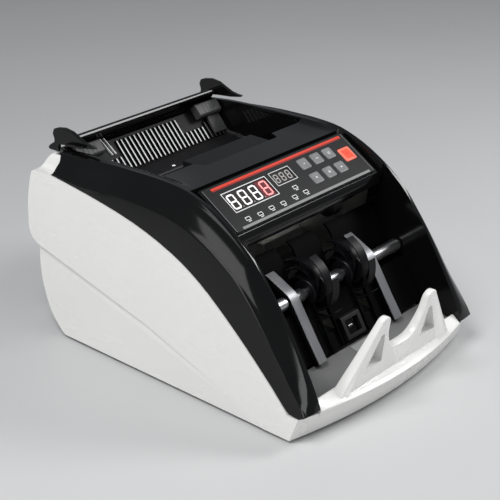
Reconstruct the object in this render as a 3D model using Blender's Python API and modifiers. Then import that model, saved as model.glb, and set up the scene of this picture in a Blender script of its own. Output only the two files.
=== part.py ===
"""Banknote counting machine: casing, hopper, note path, stacking wheels, tray, panel and electrics.

Sizes are in millimetres and become metres in place(). A point is given as (x, depth, height): x is
measured from the middle plane, depth back from the front corners of the base, and height up from the
lower edge of the casing. The finished model stands on its feet at z = 0, centred on x and y.
"""

import math

import bmesh
import bpy
from mathutils import Matrix, Vector

MM = 0.001
MID_DEPTH = 139.63  # depth of the model's origin behind the front corners
FOOT_HEIGHT = 3.0  # the feet hold the casing this far off the table
GAP = 0.3  # clearance between pieces that touch

# casing
HALF_WIDTH = 120.0
SIDE_TAPER = 6.0 / 176.0  # each side leans in this much per millimetre of height
SIDE_WALL = 5.5
REAR_FOOT = 266.9
BAND_BULGE = 15.4  # how far the front band bows out at the middle
BAND_TOP = 21.7
LIP_SEAT = 18.6
SHELF_HEIGHT = 152.0
SHELF_CROWN = 13.5  # the rear shelf is this much higher at the hopper than at the sides
COVER_HALF = 119.0
COVER_WALL = 2.6
SHOULDER_RADIUS = 9.0
POCKET_HALF = 99.5
POCKET_WALL = 2.5
BRIDGE_HALF = 95.0
BRIDGE_TOP = 172.8
BRIDGE_REAR = 165.0

# control panel
PANEL_FOOT = (78.3, 146.3)
PANEL_HEAD = (120.1, 172.8)
PANEL_HALF = 92.0
PANEL_THICK = 7.0
FILM_THICK = 0.5
FILM_GAP = 0.1  # the adhesive under the film
KEY_SIZE = 11.6
KEY_RISE = 1.0
KEY_TRAVEL = 0.8
KEY_DEPTH = 2.4  # each key reaches this far below the panel's face
START_SIZE = 14.6
KEY_COLUMNS = (26.0, 43.6, 60.2)
KEY_ROWS = (17.5, 34.4)
START_SPOT = (78.6, 26.6)
COUNT_WINDOW = (-76.5, -23.2, 18.4, 38.1)  # x from, x to, up the panel from, to
BATCH_WINDOW = (-16.9, 7.7, 25.1, 38.6)

# hopper
RAMP_FOOT = (255.0, 140.8)
RAMP_HEAD = (277.5, 165.0)
RIB_PITCH = 5.35
RIB_RISE = 2.4
RIB_WIDTH = 1.9
EAR_SIDE = 93.2

# note path: axis of each shaft as (depth, height)
IMPELLER_AXIS = (57.0, 79.5)
OUTFEED_AXIS = (114.0, 112.0)
FEED_AXIS = (172.0, 118.0)
PICKUP_AXIS = (214.0, 122.0)
BRAKE_AXIS = (172.0, 147.8)
MOTOR_AXIS = (186.0, 44.0)
WHEEL_RADIUS = 32.0
WHEEL_SPOTS = (-25.2, 25.2)
FIN_COUNT = 7
FIN_LEAD = 0.974  # angle of the first fin tip, from straight back towards straight up
FRAME_SIDE = 102.4
FRAME_THICK = 1.6
STRIP_SPOT = 53.0
STRIP_WIDTH = 10.4
STRIP_FOOT = (19.0, 35.0)  # where the guide line starts, just behind the tray floor
PLATE_TURN = math.atan2(53.5, 34.0)  # the strips and the guide plate rise at this angle

PARTS = "banknote_counting_machine"
CUTTERS = "cutters"


# ---------------------------------------------------------------- helpers


def place(x, depth, height):
    """A point of the machine in the model's frame, in metres."""
    return Vector((x, depth - MID_DEPTH, height + FOOT_HEIGHT)) * MM


def clear_scene():
    for obj in list(bpy.data.objects):
        bpy.data.objects.remove(obj, do_unlink=True)
    for name in (PARTS, CUTTERS):
        bpy.context.scene.collection.children.link(bpy.data.collections.new(name))


def material(name, color, roughness, metallic=0.0):
    mat = bpy.data.materials.get(name)
    if mat is None:
        mat = bpy.data.materials.new(name)
        mat.use_nodes = True
        shader = mat.node_tree.nodes["Principled BSDF"]
        shader.inputs["Base Color"].default_value = (*color, 1.0)
        shader.inputs["Roughness"].default_value = roughness
        shader.inputs["Metallic"].default_value = metallic
    return mat


WHITE = ("white_gloss_plastic", (0.86, 0.86, 0.84), 0.25)
BLACK = ("black_gloss_plastic", (0.012, 0.012, 0.013), 0.12)
DARK = ("dark_matte_plastic", (0.03, 0.03, 0.032), 0.5)
FILM = ("panel_film", (0.02, 0.02, 0.022), 0.4)
KEYS = ("grey_key", (0.33, 0.33, 0.34), 0.45)
START = ("orange_key", (0.85, 0.16, 0.07), 0.4)
TRAY = ("tray_grey", (0.2, 0.2, 0.21), 0.45)
STEEL = ("bright_steel", (0.62, 0.62, 0.63), 0.25, 1.0)
PLATED = ("plated_steel", (0.5, 0.5, 0.51), 0.4, 1.0)
RUBBER = ("black_rubber", (0.025, 0.025, 0.025), 0.75)
ROLLER = ("roller_rubber", (0.10, 0.055, 0.03), 0.7)
SEGMENT = ("display_grey", (0.05, 0.045, 0.045), 0.3)
BOARD = ("circuit_board", (0.02, 0.12, 0.05), 0.45)


def finish(name, mesh, look=None, smooth=30.0):
    """Link a mesh as a named part, or as a hidden cutter when it has no look."""
    obj = bpy.data.objects.new(name, mesh)
    home = PARTS if look else CUTTERS
    bpy.data.collections[home].objects.link(obj)
    if look:
        mesh.materials.append(material(*look))
        mesh.shade_smooth()
        mesh.set_sharp_from_angle(angle=math.radians(smooth))
    else:
        obj.hide_render = True
        obj.display_type = "WIRE"
    return obj


def mesh_of(name, bm):
    bmesh.ops.recalc_face_normals(bm, faces=bm.faces)
    mesh = bpy.data.meshes.new(name)
    bm.to_mesh(mesh)
    bm.free()
    return mesh


def prism(name, outline, start, end, look=None, origin=(0.0, 0.0, 0.0), across="x"):
    """A flat outline carried from start to end: (depth, height) along x, or (x, height) along depth."""
    bm = bmesh.new()
    if across == "x":
        corners = [place(start, d, h) for d, h in outline]
        step = Vector(((end - start) * MM, 0, 0))
    else:
        corners = [place(x, start, h) for x, h in outline]
        step = Vector((0, (end - start) * MM, 0))
    face = bm.faces.new([bm.verts.new(c) for c in corners])
    side = bmesh.ops.extrude_face_region(bm, geom=[face], use_keep_orig=True)
    moved = [v for v in side["geom"] if isinstance(v, bmesh.types.BMVert)]
    bmesh.ops.translate(bm, verts=moved, vec=step)
    home = place(*origin) if any(origin) else Vector()
    bmesh.ops.translate(bm, verts=bm.verts, vec=-home)
    obj = finish(name, mesh_of(name, bm), look)
    obj.location = home
    return obj


def loft(name, stations, look=None, smooth=30.0):
    """A skin through outlines of equal length, one at each x, closed at both ends."""
    bm = bmesh.new()
    rings = [[bm.verts.new(place(x, d, h)) for d, h in outline] for x, outline in stations]
    count = len(rings[0])
    for ring, following in zip(rings, rings[1:]):
        for i in range(count):
            j = (i + 1) % count
            bm.faces.new((ring[i], ring[j], following[j], following[i]))
    bm.faces.new(rings[0])
    bm.faces.new(rings[-1])
    bmesh.ops.triangulate(bm, faces=[f for f in bm.faces if len(f.verts) > 4])
    return finish(name, mesh_of(name, bm), look, smooth)


def box(name, low, high, look=None, bevel=0.0):
    """A block between two corners, with its edges rounded by bevel."""
    bm = bmesh.new()
    bmesh.ops.create_cube(bm, size=1.0)
    first, last = place(*low), place(*high)
    bmesh.ops.scale(bm, verts=bm.verts, vec=last - first)
    obj = finish(name, mesh_of(name, bm), look)
    obj.location = (first + last) / 2
    if bevel:
        soften(obj, bevel)
    return obj


def soften(obj, width, segments=2, angle=40.0):
    mod = obj.modifiers.new("bevel", "BEVEL")
    mod.width = width * MM
    mod.segments = segments
    mod.limit_method = "ANGLE"
    mod.angle_limit = math.radians(angle)
    return mod


def turned(name, profile, axis, look=None, steps=18):
    """A shape turned about a line along x: profile is (radius, x) from one end to the other."""
    bm = bmesh.new()
    closed = profile[0] == profile[-1]
    verts = [bm.verts.new(Vector((r, 0, -x)) * MM) for r, x in profile[: -1 if closed else None]]
    for a, b in zip(verts, verts[1:] + verts[:1] if closed else verts[1:]):
        bm.edges.new((a, b))
    mesh = bpy.data.meshes.new(name)
    bm.to_mesh(mesh)
    bm.free()
    obj = finish(name, mesh, look)
    screw = obj.modifiers.new("screw", "SCREW")
    screw.steps = steps
    screw.render_steps = steps
    screw.use_merge_vertices = True
    screw.merge_threshold = 0.00002
    obj.matrix_world = Matrix.Translation(place(0, *axis)) @ Matrix.Rotation(-math.pi / 2, 4, "Y")
    return obj


def disc(name, axis, radius, start, end, look=None, steps=18):
    return turned(name, [(0, start), (radius, start), (radius, end), (0, end)], axis, look, steps)


def combine(obj, tool, operation="DIFFERENCE"):
    """Cut obj with tool, or join tool to it, as a live modifier."""
    tool.hide_render = True
    tool.display_type = "WIRE"
    mod = obj.modifiers.new(f"{operation.lower()}_{tool.name}"[:60], "BOOLEAN")
    mod.operation = operation
    mod.object = tool
    mod.solver = "EXACT"
    return obj


def join(obj, tool):
    return combine(obj, tool, "UNION")


def gather(name, tools):
    """One hidden cutter made of several separate hidden blocks."""
    bm = bmesh.new()
    for tool in tools:
        part = tool.data.copy()
        part.transform(tool.matrix_world if tool.parent else Matrix.LocRotScale(
            tool.location, tool.rotation_euler, tool.scale))
        bm.from_mesh(part)
        bpy.data.meshes.remove(part)
        bpy.data.objects.remove(tool, do_unlink=True)
    mesh = bpy.data.meshes.new(name)
    bm.to_mesh(mesh)
    bm.free()
    return finish(name, mesh)


def curve_through(points, spot):
    """Height at a depth on the smooth curve through (depth, height) points."""
    for i in range(len(points) - 1):
        if spot <= points[i + 1][0] or i == len(points) - 2:
            break
    (x0, y0), (x1, y1) = points[i], points[i + 1]
    run = x1 - x0

    def slope(j):
        a = points[max(j - 1, 0)]
        b = points[min(j + 1, len(points) - 1)]
        return (b[1] - a[1]) / (b[0] - a[0])

    t = (spot - x0) / run
    return (
        (2 * t**3 - 3 * t**2 + 1) * y0
        + (t**3 - 2 * t**2 + t) * run * slope(i)
        + (3 * t**2 - 2 * t**3) * y1
        + (t**3 - t**2) * run * slope(i + 1)
    )


def taper(obj):
    """Draw the outer sides in with height, as the casing's moulded sides do."""
    for v in obj.data.vertices:
        height = v.co.z / MM - FOOT_HEIGHT
        share = min(max((abs(v.co.x) / MM - 101.0) / 8.0, 0.0), 1.0)
        v.co.x -= math.copysign(SIDE_TAPER * height * share * MM, v.co.x)


def round_run(start, end, count):
    return [start + (end - start) * i / count for i in range(count + 1)]


# ---------------------------------------------------------------- casing outlines

# the seam where the black cover meets the white casing, front to rear
SEAM = [(-8.0, 21.9), (3.0, 23.4), (20.0, 39.5), (40.5, 58.6), (69.5, 83.4), (99.0, 105.3),
        (129.1, 121.3), (172.3, 135.6), (223.9, 145.4), (276.7, 152.4)]
# the top edge of the black cover's wings, front to rear
RIDGE = [(-15.2, 25.5), (-12.3, 33.5), (-6.0, 46.8), (1.4, 60.3), (17.1, 86.9), (34.8, 112.9),
         (55.7, 137.9), (87.6, 160.4), (122.0, 175.2), (150.0, 179.8), (190.0, 180.8),
         (220.0, 178.6), (248.0, 175.4), (266.0, 173.2), (276.7, 171.5)]
RIDGE_STOPS = (
    [-15.2, -12.3, -8.5, -3.5, 3.0, 10.0, 18.0, 27.0, 37.0, 48.0, 60.0, 74.5, 75.4, 79.6, 92.0,
     108.0, 124.6, 125.6, 142.0, 165.0, 190.0, 220.0, 248.0, 266.0, 276.7]
)
REAR_WALL = [(276.0, 7.5), (282.3, 14.7), (288.3, 25.0), (292.2, 35.6), (296.0, 50.0), (297.6, 66.0),
             (297.7, 82.5), (303.4, 86.6), (307.4, 94.0), (308.0, 104.0), (307.5, 121.0),
             (305.4, 135.0), (302.5, 147.0)]
CREASE = [(297.7, 82.5), (160.7, 48.1), (35.0, 5.5)]


def band_depth(x, height):
    """Depth of the front band's outer face, which bows out and leans forward."""
    bow = 1.0 - (x / HALF_WIDTH) ** 2
    return -BAND_BULGE * bow - (0.37 + 0.13 * bow) * height


def rear_lean(x):
    """How far the rear wall's head stands forward at x, and how much higher the shelf is there."""
    inward = 1.0 - min(max((abs(x) - 97.0) / 17.0, 0.0), 1.0)
    return 9.0 * inward, SHELF_CROWN * inward


def casing_outline(x):
    """The white casing's section at x, clockwise from the front foot."""
    back, crown = rear_lean(x)
    seat = BAND_TOP if abs(x) > POCKET_HALF else LIP_SEAT
    rear = [(d - back * max(0.0, (h - 110.0) / 40.0), h) for d, h in REAR_WALL]
    shelf = [(299.5 - back, SHELF_HEIGHT + crown), (277.0, SHELF_HEIGHT + 0.4 + crown)]
    seam = [(d, h) for d, h in reversed(SEAM[1:-1])]
    front = [(3.0, seat), (band_depth(x, seat), seat)]
    return [(band_depth(x, 0.0), 0.0), (REAR_FOOT, 0.0), *rear, *shelf, *seam, *front]


def casing_hollow(x):
    """The room inside the casing at x."""
    back, crown = rear_lean(x)
    rear = [(d - 3.6 - back * max(0.0, (h - 110.0) / 40.0), h) for d, h in REAR_WALL]
    return [(band_depth(x, 0.0) + 4.0, -8.0), (REAR_FOOT - 3.6, -8.0), (REAR_FOOT - 3.6, 0.5), *rear,
            (296.0 - back, 148.0 + crown), (277.4, 148.4 + crown), (277.4, 190.0), (2.4, 190.0),
            (band_depth(x, BAND_TOP) + 4.0, BAND_TOP + 8.0)]


def lower_casing():
    """White casing: both sides, the rear and the bowed front band in one moulding."""
    edge = POCKET_HALF + 0.2
    inner = POCKET_HALF - 0.4
    spots = [120.0, 114.0, 106.0, edge, inner, 97.0, 80.0, 60.0, 40.0, 20.0, 0.0]
    spots += [-s for s in reversed(spots[:-1])]
    casing = loft("lower_casing", [(x, casing_outline(x)) for x in spots], WHITE)
    taper(casing)
    reach = HALF_WIDTH - SIDE_WALL
    hollow_spots = [-reach, -97.0, -70.0, -35.0, 0.0, 35.0, 70.0, 97.0, reach]
    hollow = loft("casing_hollow", [(x, casing_hollow(x)) for x in hollow_spots])
    taper(hollow)
    combine(casing, hollow)
    combine(casing, box("hopper_clearance", (-98.2, 200, 100), (98.2, 286, 220)))
    for side in (-1, 1):
        combine(casing, crease_cutter(side))
    combine(casing, box("connector_opening", (-84, 262, 13), (-22, 320, 49)))
    return casing


def crease_cutter(side):
    """Below the styling crease the side stands back, most at the rear."""
    outline = [*CREASE, (20.0, -6.0), (330.0, -6.0), (330.0, 82.5)]
    bm = bmesh.new()
    rings = []
    for inner in (True, False):
        ring = []
        for depth, height in outline:
            inset = 3.2 * min(max((depth - 35.0) / 262.0, 0.0), 1.0)
            x = HALF_WIDTH + 0.05 - inset if inner else HALF_WIDTH + 12.0
            ring.append(bm.verts.new(place(side * x, depth, height)))
        rings.append(ring)
    count = len(outline)
    for i in range(count):
        j = (i + 1) % count
        bm.faces.new((rings[0][i], rings[0][j], rings[1][j], rings[1][i]))
    for ring in rings:
        bm.faces.new(ring)
    bmesh.ops.triangulate(bm, faces=bm.faces)
    cutter = finish(f"crease_{side}", mesh_of("crease", bm))
    taper(cutter)
    return cutter


def offset_line(points, distance):
    """Points moved inward (down and back) from a line that runs front to rear."""
    moved = []
    for i, (d, h) in enumerate(points):
        a = points[max(i - 1, 0)]
        b = points[min(i + 1, len(points) - 1)]
        run, rise = b[0] - a[0], b[1] - a[1]
        length = math.hypot(run, rise)
        moved.append((d + rise / length * distance, h - run / length * distance))
    return moved


def bridge_height(depth):
    """Height of the cover between the wings: panel shelf, then the flat bridge."""
    if depth < 79.0:
        return 138.2
    if depth < 125.0:
        return 139.3 + (depth - 82.6) * (PANEL_HEAD[1] - PANEL_FOOT[1]) / (PANEL_HEAD[0] - PANEL_FOOT[0])
    return BRIDGE_TOP


def cover_top(x, inset):
    """The cover's upper line at x, with its shoulders rounded, moved inward by inset."""
    line = [(d, curve_through(RIDGE, d)) for d in RIDGE_STOPS]
    edge = COVER_HALF - SHOULDER_RADIUS
    drop = 0.0
    if abs(x) > edge:
        share = min((abs(x) - edge) / (SHOULDER_RADIUS - inset), 1.0)
        drop = (SHOULDER_RADIUS - inset) * (1.0 - math.sqrt(max(0.0, 1.0 - share**2)))
    if abs(x) < BRIDGE_HALF + 1.5:
        line = [(d, min(h, bridge_height(d))) for d, h in line]
        moved = [(d, h - inset) for d, h in line]
        moved[-1] = (284.9 - inset, moved[-1][1])
        return moved
    return offset_line(line, inset + drop)


def cover_spots(inset, turns=(90, 60, 30, 0)):
    """Stations across the cover, close together round the shoulders."""
    reach = COVER_HALF - inset
    radius = SHOULDER_RADIUS - inset
    turn = [reach - radius + radius * math.sin(math.radians(a)) for a in turns]
    half = [*turn, 104.0, BRIDGE_HALF + 2.6 - inset, BRIDGE_HALF - inset, 60.0, 20.0]
    return [-s for s in half] + [s for s in reversed(half)]


def cover_skin(x):
    top = cover_top(x, 0.0)
    floor = [(d, h + GAP) for d, h in reversed(SEAM)]
    first = floor[-1]
    floor[-1] = (max(first[0], top[0][0] + 0.4), first[1])
    if abs(x) < BRIDGE_HALF + 1.5:
        floor[0] = (284.9, 152.7)
    return top + floor


def cover_room(x):
    top = cover_top(x, COVER_WALL)
    rear = 282.2 if abs(x) < BRIDGE_HALF + 1.0 - COVER_WALL else 276.7 - COVER_WALL
    top = [(min(d, rear), h) for d, h in top]
    return top + [(rear, -30.0), (top[0][0], -30.0)]


def top_cover():
    """Black cover: two curved wings, the bridge that carries the panel, and the hopper surround."""
    cover = loft("top_cover", [(x, cover_skin(x)) for x in cover_spots(0.0)], BLACK, 35.0)
    taper(cover)
    room = loft("cover_room", [(x, cover_room(x)) for x in cover_spots(COVER_WALL, (90, 45, 0))])
    taper(room)
    combine(cover, room)
    ridge = offset_line([(d, curve_through(RIDGE, d)) for d in RIDGE_STOPS if d < 92.0], 1.2)
    cheek = [*ridge[1:], (96.0, 90.0), (62.0, 30.0), (24.0, 25.5), (-10.0, 22.4)]
    for side in (-1, 1):
        inner, outer = POCKET_HALF - 0.3, POCKET_HALF + POCKET_WALL
        ends = (inner, outer) if side > 0 else (-outer, -inner)
        wall = prism(f"cheek_{side}", cheek, *ends)
        join(cover, wall)
    mouth = [(-60, -10), (-60, 230), (75.4, 230), (75.4, 134.6), (84, 128), (130, 128), (130, -10)]
    combine(cover, prism("pocket_cutter", mouth, -POCKET_HALF, POCKET_HALF))
    combine(cover, box("hopper_well", (-93.6, BRIDGE_REAR, 100), (93.6, 282.7, 240)))
    combine(cover, box("thumb_notch", (-52, 154.5, 120), (52, 172, 240)))
    combine(cover, disc("impeller_holes", IMPELLER_AXIS, 5.2, -107.0, 107.0))
    return cover


def bottom_plate():
    """Steel bottom plate with a grille of air slots."""
    plate = box("bottom_plate", (-108, 6, 0.6), (108, 260, 2.1), PLATED)
    slots = [box(f"slot_{i}_{j}", (-34 + 52 * j, 90 + 9 * i, -4), (-4 + 52 * j, 94 + 9 * i, 8))
             for i in range(7) for j in range(2)]
    return combine(plate, gather("air_slots", slots))


def feet():
    for i, (x, depth) in enumerate(((-92, 26), (92, 26), (-92, 240), (92, 240)), 1):
        bm = bmesh.new()
        bmesh.ops.create_cone(bm, cap_ends=True, segments=28, radius1=7.5 * MM, radius2=9.0 * MM,
                              depth=(FOOT_HEIGHT + 0.3) * MM)
        foot = finish(f"foot_{i}", mesh_of("foot", bm), RUBBER)
        foot.location = place(x, depth, (0.3 - FOOT_HEIGHT) / 2)


# ---------------------------------------------------------------- tray and stopper


def stopper():
    """White front stopper: a bowed lip with two leaning arms, each with a recessed window."""
    half = POCKET_HALF - 0.7
    spots = [half * s / 8.0 for s in range(-8, 9)]

    def section(x):
        front = band_depth(x, LIP_SEAT + GAP)
        top = band_depth(x, 24.6)
        return [(front, LIP_SEAT + GAP), (top, 23.9), (top + 0.9, 24.8), (-8.0, 29.6), (-6.9, 29.8),
                (-5.6, 29.0), (-4.8, LIP_SEAT + GAP)]

    lip = loft("stopper", [(x, section(x)) for x in spots], WHITE, 40.0)
    tip = [(33 + 5.5 * math.cos(a), 80.2 + 5.5 * math.sin(a))
           for a in (math.radians(t) for t in (28, 52, 76, 100, 124, 148, 168))]
    flare = [(24.4, 68.0), (21.0, 58.5), (16.8, 52.2), (11.0, 49.0), (4.0, 48.2)]
    right = [(76.2, 27.0), *tip, *flare]
    outline = [(x, h) for x, h in right] + [(-x, h) for x, h in reversed(right)]
    outline = [(76.2, 22.0), *outline, (-76.2, 22.0)]
    arms = prism("arms", outline, 0.0, 1.0, across="depth")
    lean_plate(arms, (-17.4, 0.187), (-6.3, 0.262))
    join(lip, arms)
    for side in (-1, 1):
        window = [(side * 27.2, 42.6), (side * 47.0, 43.0), (side * 34.2, 68.4), (side * 31.6, 68.4)]
        pane = prism(f"window_{side}", window, 0.0, 1.0, across="depth")
        lean_plate(pane, (-30.0, 0.187), (-12.6, 0.187))
        combine(lip, pane)
    return lip


def lean_plate(obj, front, rear):
    """Set the two faces of an upright slab at leaning planes: depth at height 25, and forward lean."""
    low = place(0, 0, 0).y
    for v in obj.data.vertices:
        height = v.co.z / MM - FOOT_HEIGHT
        start, lean = front if v.co.y < low + 0.0005 else rear
        v.co.y = place(0, start - (height - 25.0) * lean, 0).y


def tray_floor():
    """Grey floor of the note tray, sloping down to the stopper, with a lip turned down behind."""
    outline = [(26.0, 31.5), (27.0, 29.5), (27.0, 20.0), (25.2, 20.0), (25.2, 29.2), (-4.0, 23.0),
               (-4.0, 25.0)]
    return prism("tray_floor", outline, -98.9, 98.9, TRAY)


def along_strip(run, lift):
    """A point run along the rising guide line and lift behind it."""
    return (STRIP_FOOT[0] + run * math.cos(PLATE_TURN) + lift * math.sin(PLATE_TURN),
            STRIP_FOOT[1] + run * math.sin(PLATE_TURN) - lift * math.cos(PLATE_TURN))


def stacker_plate():
    """Dark plate behind the tray, notched for the stacking wheels and bored for the sensor."""
    thick = 2.0
    outline = [along_strip(3.0, 6.5), along_strip(38.0, 6.5), along_strip(38.0, 6.5 + thick),
               along_strip(3.0, 6.5 + thick)]
    plate = prism("stacker_plate", outline, -98.7, 98.7, DARK)
    for i, spot in enumerate(WHEEL_SPOTS, 1):
        notch = [along_strip(14.0, -3.0), along_strip(60.0, -3.0), along_strip(60.0, 14.0),
                 along_strip(14.0, 14.0)]
        combine(plate, prism(f"wheel_notch_{i}", notch, spot - 8.6, spot + 8.6))
    port = [along_strip(9.0, -3.0), along_strip(21.0, -3.0), along_strip(21.0, 14.0),
            along_strip(9.0, 14.0)]
    combine(plate, prism("sensor_port", port, -8.0, 8.0))
    return plate


def sensor_housing():
    """Hooded frame round the stacker sensor, standing forward of the guide plate."""
    outline = [along_strip(5.0, 2.2), along_strip(25.0, 1.6), along_strip(27.0, 6.2),
               along_strip(5.0, 6.2)]
    hood = prism("sensor_housing", outline, -12.5, 12.5, DARK)
    port = [along_strip(8.6, -3.0), along_strip(21.4, -3.0), along_strip(21.4, 14.0),
            along_strip(8.6, 14.0)]
    combine(hood, prism("hood_port", port, -8.4, 8.4))


def guide_strips():
    """Two bent bright strips that lead notes from the outfeed down to the tray."""
    for name, spot in (("guide_strip_left", -STRIP_SPOT), ("guide_strip_right", STRIP_SPOT)):
        centre = [(19.0, 35.4), (30.0, 51.5), (42.0, 70.4), (49.6, 82.0), (53.4, 86.6), (58.6, 89.8),
                  (70.0, 95.2), (85.5, 102.2)]
        back = offset_line(centre, 1.3)
        prism(name, [*centre, *reversed(back)], spot - STRIP_WIDTH / 2, spot + STRIP_WIDTH / 2, STEEL)


# ---------------------------------------------------------------- control panel


def panel_point(up, lift):
    """(depth, height) of a point up the sloping panel face and lift out of it."""
    run = PANEL_HEAD[0] - PANEL_FOOT[0]
    rise = PANEL_HEAD[1] - PANEL_FOOT[1]
    length = math.hypot(run, rise)
    return (PANEL_FOOT[0] + up * run / length - lift * rise / length,
            PANEL_FOOT[1] + up * rise / length + lift * run / length)


PANEL_LENGTH = math.hypot(PANEL_HEAD[0] - PANEL_FOOT[0], PANEL_HEAD[1] - PANEL_FOOT[1])
PANEL_ANGLE = math.atan2(PANEL_HEAD[1] - PANEL_FOOT[1], PANEL_HEAD[0] - PANEL_FOOT[0])


def panel_block(name, x0, x1, up0, up1, low, high, look=None, round_by=0.0):
    """A block lying in the panel's own slope, with its origin at its own middle."""
    bm = bmesh.new()
    bmesh.ops.create_cube(bm, size=1.0)
    size = Vector((x1 - x0, up1 - up0, high - low)) * MM
    bmesh.ops.scale(bm, verts=bm.verts, vec=size)
    obj = finish(name, mesh_of(name, bm), look)
    middle = panel_point((up0 + up1) / 2, (low + high) / 2)
    obj.location = place((x0 + x1) / 2, *middle)
    obj.rotation_euler = (PANEL_ANGLE, 0, 0)
    if round_by:
        soften(obj, round_by, 2, 60.0)
    return obj


def key_spots():
    spots = []
    for row in reversed(KEY_ROWS):
        for column in KEY_COLUMNS:
            spots.append((f"key_{len(spots) + 1}", column, row, KEY_SIZE, KEYS))
    spots.append(("start_key", *START_SPOT, START_SIZE, START))
    return spots


def control_panel():
    """Panel housing, its film, the two displays, seven keys and the board behind them."""
    housing = panel_block("panel_housing", -PANEL_HALF - 1.6, PANEL_HALF + 1.6, 0.0, PANEL_LENGTH,
                          -PANEL_THICK, 0.0, BLACK)
    combine(housing, panel_block("panel_room", -88.0, 90.0, 3.0, PANEL_LENGTH - 3.0,
                                 -PANEL_THICK - 3.0, -1.8))
    film = panel_block("panel_film", -PANEL_HALF + 0.8, PANEL_HALF - 0.8, 1.4, PANEL_LENGTH - 1.2,
                       FILM_GAP, FILM_GAP + FILM_THICK, FILM)
    housing_cuts, film_cuts = [], []
    for name, window in (("count", COUNT_WINDOW), ("batch", BATCH_WINDOW)):
        housing_cuts.append(panel_block(f"{name}_opening", *window, -9.0, 6.0))
        film_cuts.append(panel_block(f"{name}_pane", window[0] + 0.8, window[1] - 0.8,
                                     window[2] + 0.8, window[3] - 0.8, -9.0, 6.0))
    for name, x, up, size, look in key_spots():
        half = size / 2
        slack = half + 0.35
        housing_cuts.append(panel_block(f"{name}_bore", x - slack, x + slack, up - slack, up + slack,
                                        -9.0, 6.0))
        film_cuts.append(panel_block(f"{name}_port", x - slack, x + slack, up - slack, up + slack,
                                     -9.0, 6.0))
        panel_block(name, x - half, x + half, up - half, up + half, -KEY_DEPTH, FILM_THICK + KEY_RISE,
                    look, 0.45)
    combine(housing, gather("housing_openings", housing_cuts))
    combine(film, gather("film_openings", film_cuts))
    for name, window in (("count_display", COUNT_WINDOW), ("batch_display", BATCH_WINDOW)):
        panel_block(name, window[0] + 0.3, window[1] - 0.3, window[2] + 0.3, window[3] - 0.3,
                    -4.0, -0.1, SEGMENT)
    board = panel_block("panel_board", -86.0, 88.0, 5.0, PANEL_LENGTH - 5.0, -5.9, -4.3, BOARD)
    switches = [panel_block(f"{name}_switch", x - 3.0, x + 3.0, up - 3.0, up + 3.0, -4.6,
                            -KEY_DEPTH - KEY_TRAVEL - 0.15) for name, x, up, _, _ in key_spots()]
    join(board, gather("key_switches", switches))


# ---------------------------------------------------------------- hopper

RAMP_RUN = math.hypot(RAMP_HEAD[0] - RAMP_FOOT[0], RAMP_HEAD[1] - RAMP_FOOT[1])
RAMP_ANGLE = math.atan2(RAMP_HEAD[1] - RAMP_FOOT[1], RAMP_HEAD[0] - RAMP_FOOT[0])


def ramp_point(up, lift):
    """(depth, height) of a point up the hopper's ramp and lift out of it."""
    return (RAMP_FOOT[0] + up * math.cos(RAMP_ANGLE) - lift * math.sin(RAMP_ANGLE),
            RAMP_FOOT[1] + up * math.sin(RAMP_ANGLE) + lift * math.cos(RAMP_ANGLE))


def rib_rows():
    """(x, length up the ramp) of each rib: long ones in the middle, short ones to the sides."""
    rows = []
    for i in range(-16, 17):
        x = i * RIB_PITCH
        if abs(x) < 41.0:
            rows.append((x, 31.0))
        elif abs(x) < 65.0:
            rows.append((x, 15.5))
        else:
            rows.append((x, 19.5))
    return rows


def hopper_plate():
    """Ribbed ramp that the notes lean on, and the flat feed plate in front of it."""
    thick = 2.2
    outline = [(229.6, 131.0), (229.6, 137.6), (231.0, 139.2), RAMP_FOOT, ramp_point(RAMP_RUN, 0.0),
               ramp_point(RAMP_RUN, -thick), (RAMP_FOOT[0] + 1.4, RAMP_FOOT[1] - thick),
               (232.4, 136.8), (231.8, 131.0)]
    plate = prism("hopper_plate", outline, -91.9, 91.9, DARK)
    ribs = []
    for i, (x, length) in enumerate(rib_rows()):
        bm = bmesh.new()
        bmesh.ops.create_cube(bm, size=1.0)
        size = Vector((RIB_WIDTH, length, RIB_RISE + 0.8)) * MM
        bmesh.ops.scale(bm, verts=bm.verts, vec=size)
        rib = finish(f"rib_{i}", mesh_of("rib", bm))
        rib.location = place(x, *ramp_point(length / 2 + 0.4, (RIB_RISE - 0.8) / 2))
        rib.rotation_euler = (RAMP_ANGLE, 0, 0)
        ribs.append(rib)
    return join(plate, gather("ribs", ribs))


def hopper_back():
    """Back rail of the hopper with an ear at each end."""
    rail = [(268.4, 178.8), (268.0, 181.0), (269.2, 182.8), (272.0, 183.2), (274.4, 181.6),
            (281.6, 169.0), (281.6, 164.4), (279.6, 164.4), (279.2, 168.6), (272.6, 178.0)]
    back = prism("hopper_back", rail, -EAR_SIDE, EAR_SIDE, BLACK)
    ear = [(238.5, 181.6), (243.0, 181.6), (251.0, 182.8), (259.2, 186.0), (266.8, 189.3),
           (277.0, 190.4), (286.0, 188.8), (290.4, 186.9), (292.2, 182.4), (290.4, 177.8),
           (290.6, 174.6), (296.5, 171.0), (299.4, 167.6), (297.0, 166.4), (285.4, 166.6),
           (285.4, 173.6), (266.0, 176.2), (252.0, 177.6), (238.5, 180.2)]
    for side in (-1, 1):
        ends = sorted((side * (EAR_SIDE - 1.0), side * (EAR_SIDE + 2.6)))
        join(back, prism(f"ear_{side}", ear, *ends))
    return back


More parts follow.
